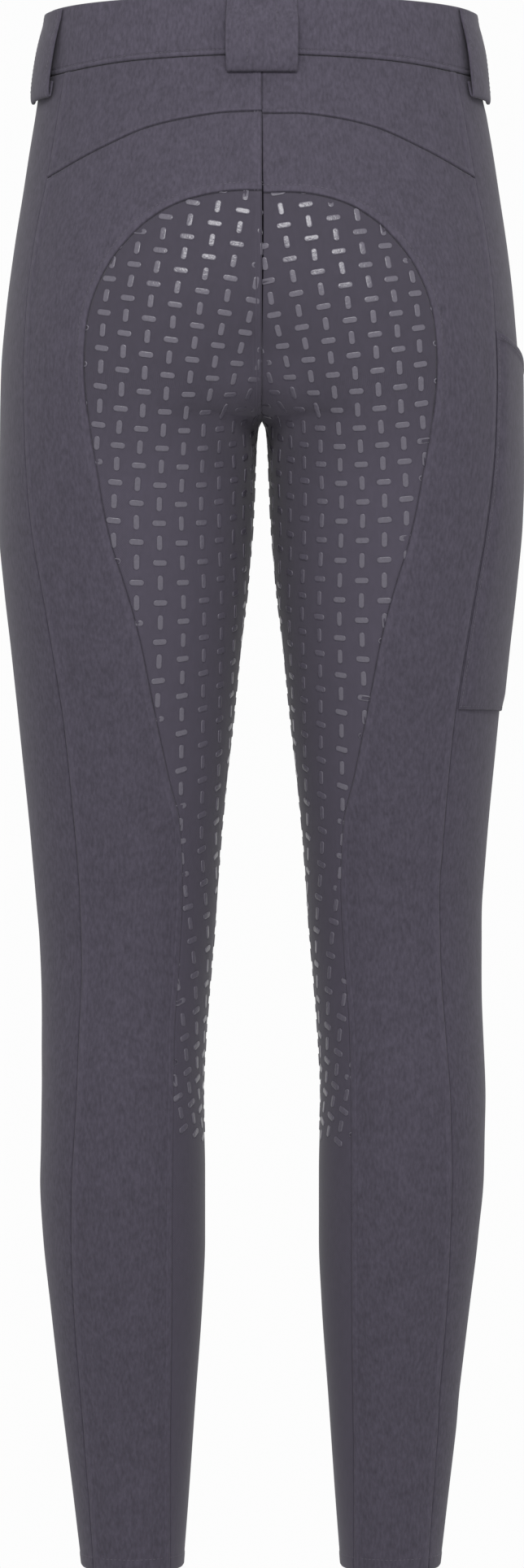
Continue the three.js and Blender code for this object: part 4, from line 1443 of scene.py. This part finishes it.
def net_direction(z, turn, columns, rows):
    """Unit vector on the form towards the next column or row of the net, and how far that is."""
    part = 0.05
    _, _, move = net_slopes(z, turn, 0.02)
    dz, dt = (step * part for step in move(columns, rows))
    way = form_point(z + dz, turn + dt) - form_point(z - dz, turn - dt)
    length = np.linalg.norm(way, axis=-1, keepdims=True)
    return way / length, length[..., 0] / (2 * part)


def print_places(name, hand, side, row_shift, odd):
    z, turn, column, row = net_places(np.arange(-7, 9), np.arange(-6, 52) + row_shift)
    row = np.round(row - row_shift)
    surface, normal = form_point(z, turn), form_normal(z, turn)
    room = signed_room(hand, z, turn, surface)
    keep = (room > PLACES_BEYOND) & (z > PRINT_END) & (z < PLACES_TOP)
    upright = (column + row) % 2 == odd
    (across, _), (down, row_step) = net_direction(z, turn, 1, 0), net_direction(z, turn, 0, 1)
    along = np.where(upright[:, None], down, across)
    stretch = np.where(upright, UPRIGHT_SHARE * row_step / DASH_LENGTH, 1)
    size = np.stack([stretch, np.ones(len(stretch)), np.ones(len(stretch))], -1)
    mirror = np.array((side, 1, 1))
    vectors = {"along": along[keep] * mirror, "out": normal[keep] * mirror, "size": size[keep]}
    return bare_mesh(name, worn(surface[keep] * mirror), **vectors)


# %% The print recipe
def print_recipe():
    r = Recipe("print dashes", Dash="Object", Carrier="Object", Material="Material")
    dash_in, carrier = r.form_of("Dash"), r.form_of("Carrier")
    aim = r.aimed(r.named("out"), r.named("along"))
    spots = {"Points": r.given("Geometry"), "Instance": dash_in}
    spots |= {"Rotation": aim, "Scale": r.named("size")}
    placed = r.made_by("GeometryNodeInstanceOnPoints", None, spots)
    real = r.made_by("GeometryNodeRealizeInstances", None, {0: placed})

    def sampled(kind, value):
        inputs = {"Mesh": carrier, "Value": value}
        return r.made_by("GeometryNodeSampleNearestSurface", {"data_type": kind}, inputs, "Value")

    surface = sampled("FLOAT_VECTOR", r.made_by("GeometryNodeInputPosition"))
    out = sampled("FLOAT_VECTOR", r.named("out"))
    room = sampled("FLOAT", r.named("room", "FLOAT"))
    soft = {"interpolation_type": "SMOOTHSTEP"}
    ends = {0: room, 1: -SINK_REACH, 2: SINK_REACH, 3: -SINK_DEPTH, 4: 0.0}
    sunk = r.made_by("ShaderNodeMapRange", soft, ends)
    height = r.maths("ADD", r.named("height", "FLOAT"), sunk)
    metres = r.maths("MULTIPLY", height, MM)
    rise = r.made_by("ShaderNodeVectorMath", {"operation": "SCALE"}, {0: out, "Scale": metres})
    place = r.made_by("ShaderNodeVectorMath", {"operation": "ADD"}, {0: surface, 1: rise})
    laid = r.made_by("GeometryNodeSetPosition", None, {0: real, "Position": place})
    less = {"data_type": "FLOAT", "operation": "LESS_THAN"}
    beyond = r.made_by("FunctionNodeCompare", less, {0: room, 1: CUT_BEYOND})
    trim = r.made_by("GeometryNodeDeleteGeometry", {"domain": "FACE"}, {0: laid, 1: beyond})
    r.finish_with(trim)
    return r


RIGHT_ROW_SHIFT = -0.12
dash_recipe = print_recipe()
prints = {}
for (hand, side), shift, odd in zip(HANDS.items(), (0, RIGHT_ROW_SHIFT), (1, 0)):
    carrier = print_carrier("carrier", hand, side)
    host = print_places("places", hand, side, shift, odd)
    values = {"Dash": dash, "Carrier": carrier, "Material": silicone}
    piece = run_recipe(f"grip_print_{hand}", dash_recipe, host, **values)
    bpy.data.objects.remove(carrier)
    prints[hand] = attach(piece, "root")
    print(piece.name, len(piece.data.polygons), "faces")
bpy.data.objects.remove(dash)

# %% [markdown]
# ## Topstitching
#
# A row of lockstitches shows as short threads end to end, each dipping into the cloth where the
# needle went through. Each row is a line on the cloth with its outward direction. The tree makes a
# curve of it, divides that into stitch lengths and lays a small thread on every point.

# %% Lines beside the seams
STITCH_PITCH, STITCH_LENGTH, STITCH_WIDTH, STITCH_HEIGHT = 2.7, 2.2, 0.42, 0.2
THREAD_LIFT = 0.05


def beside(z, turn, distance, steps=5):
    """The line a distance to the left of a line's own direction, along the form."""
    z, turn = np.array(z, float), np.array(turn, float)
    for _ in range(steps):
        here, normal = form_point(z, turn), form_normal(z, turn)
        way = np.cross(normal, np.gradient(here, axis=0))
        way = way / np.linalg.norm(way, axis=-1, keepdims=True) * distance / steps
        up = (form_point(z + 0.05, turn) - form_point(z - 0.05, turn)) / 0.1
        around = (form_point(z, turn + 0.001) - form_point(z, turn - 0.001)) / 0.002
        pairs = (up, up), (up, around), (around, around), (way, up), (way, around)
        uu, ua, aa, wu, wa = (np.einsum("ij,ij->i", p, q) for p, q in pairs)
        flat = uu * aa - ua**2
        z = z + (wu * aa - wa * ua) / flat
        turn = turn + (wa * uu - wu * ua) / flat
    return z, turn


def stitch_recipe():
    r = Recipe("lay stitches", Stitch="Object", Pitch="Float", Material="Material")
    line = r.made_by("GeometryNodeMeshToCurve", None, {0: r.given("Geometry")})
    pitch = {0: line, "Length": r.given("Pitch")}
    even = r.made_by("GeometryNodeResampleCurve", {"mode": "LENGTH"}, pitch)
    aim = r.aimed(r.named("out"), r.made_by("GeometryNodeInputTangent"))
    spots = {"Points": even, "Instance": r.form_of("Stitch"), "Rotation": aim}
    r.finish_with(r.made_by("GeometryNodeInstanceOnPoints", None, spots))
    return r


def stitch_shape():
    # along the stitch: the place, the size of its section and how high it lies, as shares
    stations = [(-0.5, 0.35, -0.8), (-0.32, 0.85, -0.1), (0, 1, 0.15)]
    stations += [(0.32, 0.85, -0.1), (0.5, 0.35, -0.8)]
    around = np.linspace(0, 2 * math.pi, 7)[:-1]
    rings = []
    for at, size, rise in stations:
        across = np.cos(around) * STITCH_WIDTH / 2 * size
        up = STITCH_HEIGHT * (rise + np.sin(around) * size)
        rings.append([(at * STITCH_LENGTH, y, z) for y, z in zip(across, up)])
    return ringed_shape("stitch", rings)


def stitched(name, lines, side, dips=True):
    """One piece with the stitches of several lines, each a (points, outward) pair."""
    points, out, edges, start = [], [], [], 0
    for line, outward in lines:
        points.append(worn(line * (side, 1, 1), dips))
        out.append(outward * (side, 1, 1))
        edges += [(start + i, start + i + 1) for i in range(len(line) - 1)]
        start += len(line)
    host = bare_mesh("rows", np.concatenate(points), edges=edges, out=np.concatenate(out))
    values = {"Stitch": stitch, "Pitch": STITCH_PITCH * MM, "Material": thread}
    piece = run_recipe(name, lay_stitches, host, **values)
    print(name, len(piece.data.polygons), "faces")
    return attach(piece, "root")


def on_form(z, turn, lift=THREAD_LIFT, hand=None):
    """A line on the form and its outward direction, lifted off the form by a little."""
    normal = form_normal(z, turn)
    if hand:
        z = jogged(hand, z, turn)
        lift = (lift + fold_height(hand, z, turn))[..., None]
    return form_point(z, turn) + normal * lift, normal


stitch, lay_stitches = stitch_shape(), stitch_recipe()
print("faces in a stitch:", len(stitch.data.polygons))

# %% Rows on the panels
seam_z = np.linspace(BAND_SEAM - 1, HEM + 1, 500)
lower_z = np.linspace(CROTCH - 3, HEM + 1, 380)
hem_turn = np.linspace(0, 2 * math.pi, 160)
arch_line = arch_place(np.linspace(0, 1, 200))
grip_z = leg_level[5:-3:4]
grip_line = joined(arch_line, (grip_z, grip_seam(grip_z)))
body_z = np.linspace(BAND_SEAM - 1, CROTCH + 2, 160)


def panel_rows(hand):
    def row_by(z, seam, distance):
        return z, turn_after(z, seam(z), np.full(z.shape, distance))

    places = [
        row_by(seam_z, outer_seam, -EDGE_ROW),
        beside(*grip_line, -EDGE_ROW),
        row_by(lower_z, inseam_turn, -EDGE_ROW),
        (np.full(hem_turn.shape, HEM + HEM_ROW), hem_turn),
    ]
    if hand == "left":
        places += [row_by(body_z, centre_turn, row) for row in CENTRE_ROWS]
    return [on_form(z, turn, hand=hand) for z, turn in places]


for hand, side in HANDS.items():
    stitched(f"stitches_{hand}", panel_rows(hand), side)

# %% Rows on the waistband, the pocket, the fly and the loops
BAND_ROW_SUNK = 0.25
POCKET_ROW, MOUTH_SLANT, BACK_ROW = 2, 1.03, 3.0
LOOP_ROWS = {"back": 12.4, "side": 3.5, "front": 3.5}
LOOP_ROW_STEPS = slice(2, 62)
band_start = FRONT + band_turn(UNDERLAP + RAMP_GAP + LAP_RAMP)
band_turns = np.linspace(band_start, FRONT + 2 * math.pi - band_turn(LAP), 700)
band_z = np.full(band_turns.shape, BAND_SEAM + BAND_ROW)
band_row = on_form(band_z, band_turns, BAND_LIFT - BAND_ROW_SUNK)
stitched("stitches_waistband", [band_row], 1)


def pocket_rows():
    across = np.linspace(POCKET_ROW, POCKET_WIDTH - POCKET_ROW, 60)
    mouth = POCKET_MOUTH - POCKET_FALL * across - (MOUTH_HEM - 1) * MOUTH_SLANT
    foot = np.full(across.shape, POCKET_FOOT + POCKET_ROW)
    lines = [(mouth, across, POCKET_LIFT + 0.6), (foot, across, POCKET_EDGE)]
    for place in (BACK_ROW, POCKET_WIDTH - POCKET_ROW):
        top = POCKET_MOUTH - POCKET_FALL * place - MOUTH_HEM - 1
        z = np.linspace(top, POCKET_FOOT + POCKET_ROW, 90)
        lift = POCKET_CAUGHT + (POCKET_EDGE - POCKET_CAUGHT) * float(caught(place))
        lines.append((z, np.full(z.shape, place), lift))
    return [on_form(z, turn_after(z, outer_seam(z), across), lift) for z, across, lift in lines]


stitched("stitches_pocket", pocket_rows(), -1)
fly_z = np.linspace(FLY_TOP - 1, FLY_FOOT + 6, 120)
fly_x = np.maximum(fly_width(fly_z) - FLY_ROW, 1)
fly_row = on_form(fly_z, 2 * math.pi - turn_at(fly_x, fly_z), FLY_LIFT - THREAD_LIFT)
stitched("stitches_fly", [fly_row], -1)


def loop_rows(which):
    """The two rows along a loop, on its outer face, from its top to the fold below the band."""
    def line_at(face, offset):
        points = [[np.interp(offset, loop_offsets, row[:, k]) for k in range(3)] for row in face]
        return np.array(points)

    depths = LOOP_THICKNESS / 2 + 0.03, 0
    face, below = (loop_faces(which, depth)[LOOP_ROW_STEPS] for depth in depths)
    rows = []
    for end in (-1, 1):
        offset = end * (HALF_LOOP - LOOP_ROWS[which])
        row = line_at(face, offset)
        out = row - line_at(below, offset)
        rows.append((row, out / np.linalg.norm(out, axis=-1, keepdims=True)))
    return rows


stitched("stitches_loop_back", loop_rows("back"), 1, dips=False)
for hand, side in HANDS.items():
    lines = loop_rows("side") + loop_rows("front")
    stitched(f"stitches_loops_{hand}", lines, side, dips=False)
bpy.data.objects.remove(stitch)

# %% [markdown]
# ## The cut
#
# For every piece of cloth the script prints the area that it was cut to, of the part that shows,
# beside its area as worn. The knit is cut a little narrower than the body and stretches over it, so
# the big panels and the band have a few percent less area than as worn. The yoke, the pocket and
# the fly are pulled along by the cloth around them. The loops are straps folded at their ends, and
# they don't stretch.

cuts = {
    "yoke": (0.137, 0.072, 0.0066),
    "back_panel": (0.118, 0.895, 0.056),
    "seat_panel": (0.165, 0.86, 0.0765),
    "front_panel": (0.275, 0.93, 0.206),
    "phone_pocket": (0.093, 0.232, 0.0201),
    "fly_flap": (0.036, 0.15, 0.0048),
}
CUT_BAND = (0.775, 0.037)
CUT_LOOP, CUT_BACK_LOOP = (0.043, 0.069), (0.043, 0.061)


def declare(node, cut, held, **more):
    piece = made[node]
    as_worn = sum(face.area for face in piece.data.polygons) / 2
    area = more.get("area", cut[0] * cut[1])
    print(f"{node}: cut {area * 1e4:.0f} cm2, worn {as_worn * 1e4:.0f} cm2")


for name, (width, length, area) in cuts.items():
    for node in [name] if name in made else [f"{name}_{hand}" for hand in HANDS]:
        more = {"area": area}
        if name == "seat_panel":
            more["with_pieces"] = [prints[node.removeprefix("seat_panel_")]]
        declare(node, (width, length), "stretched", **more)
declare("waistband", CUT_BAND, "stretched")
for node in made:
    if node.startswith("belt_loop"):
        declare(node, CUT_BACK_LOOP if node == "belt_loop_back" else CUT_LOOP, "folded")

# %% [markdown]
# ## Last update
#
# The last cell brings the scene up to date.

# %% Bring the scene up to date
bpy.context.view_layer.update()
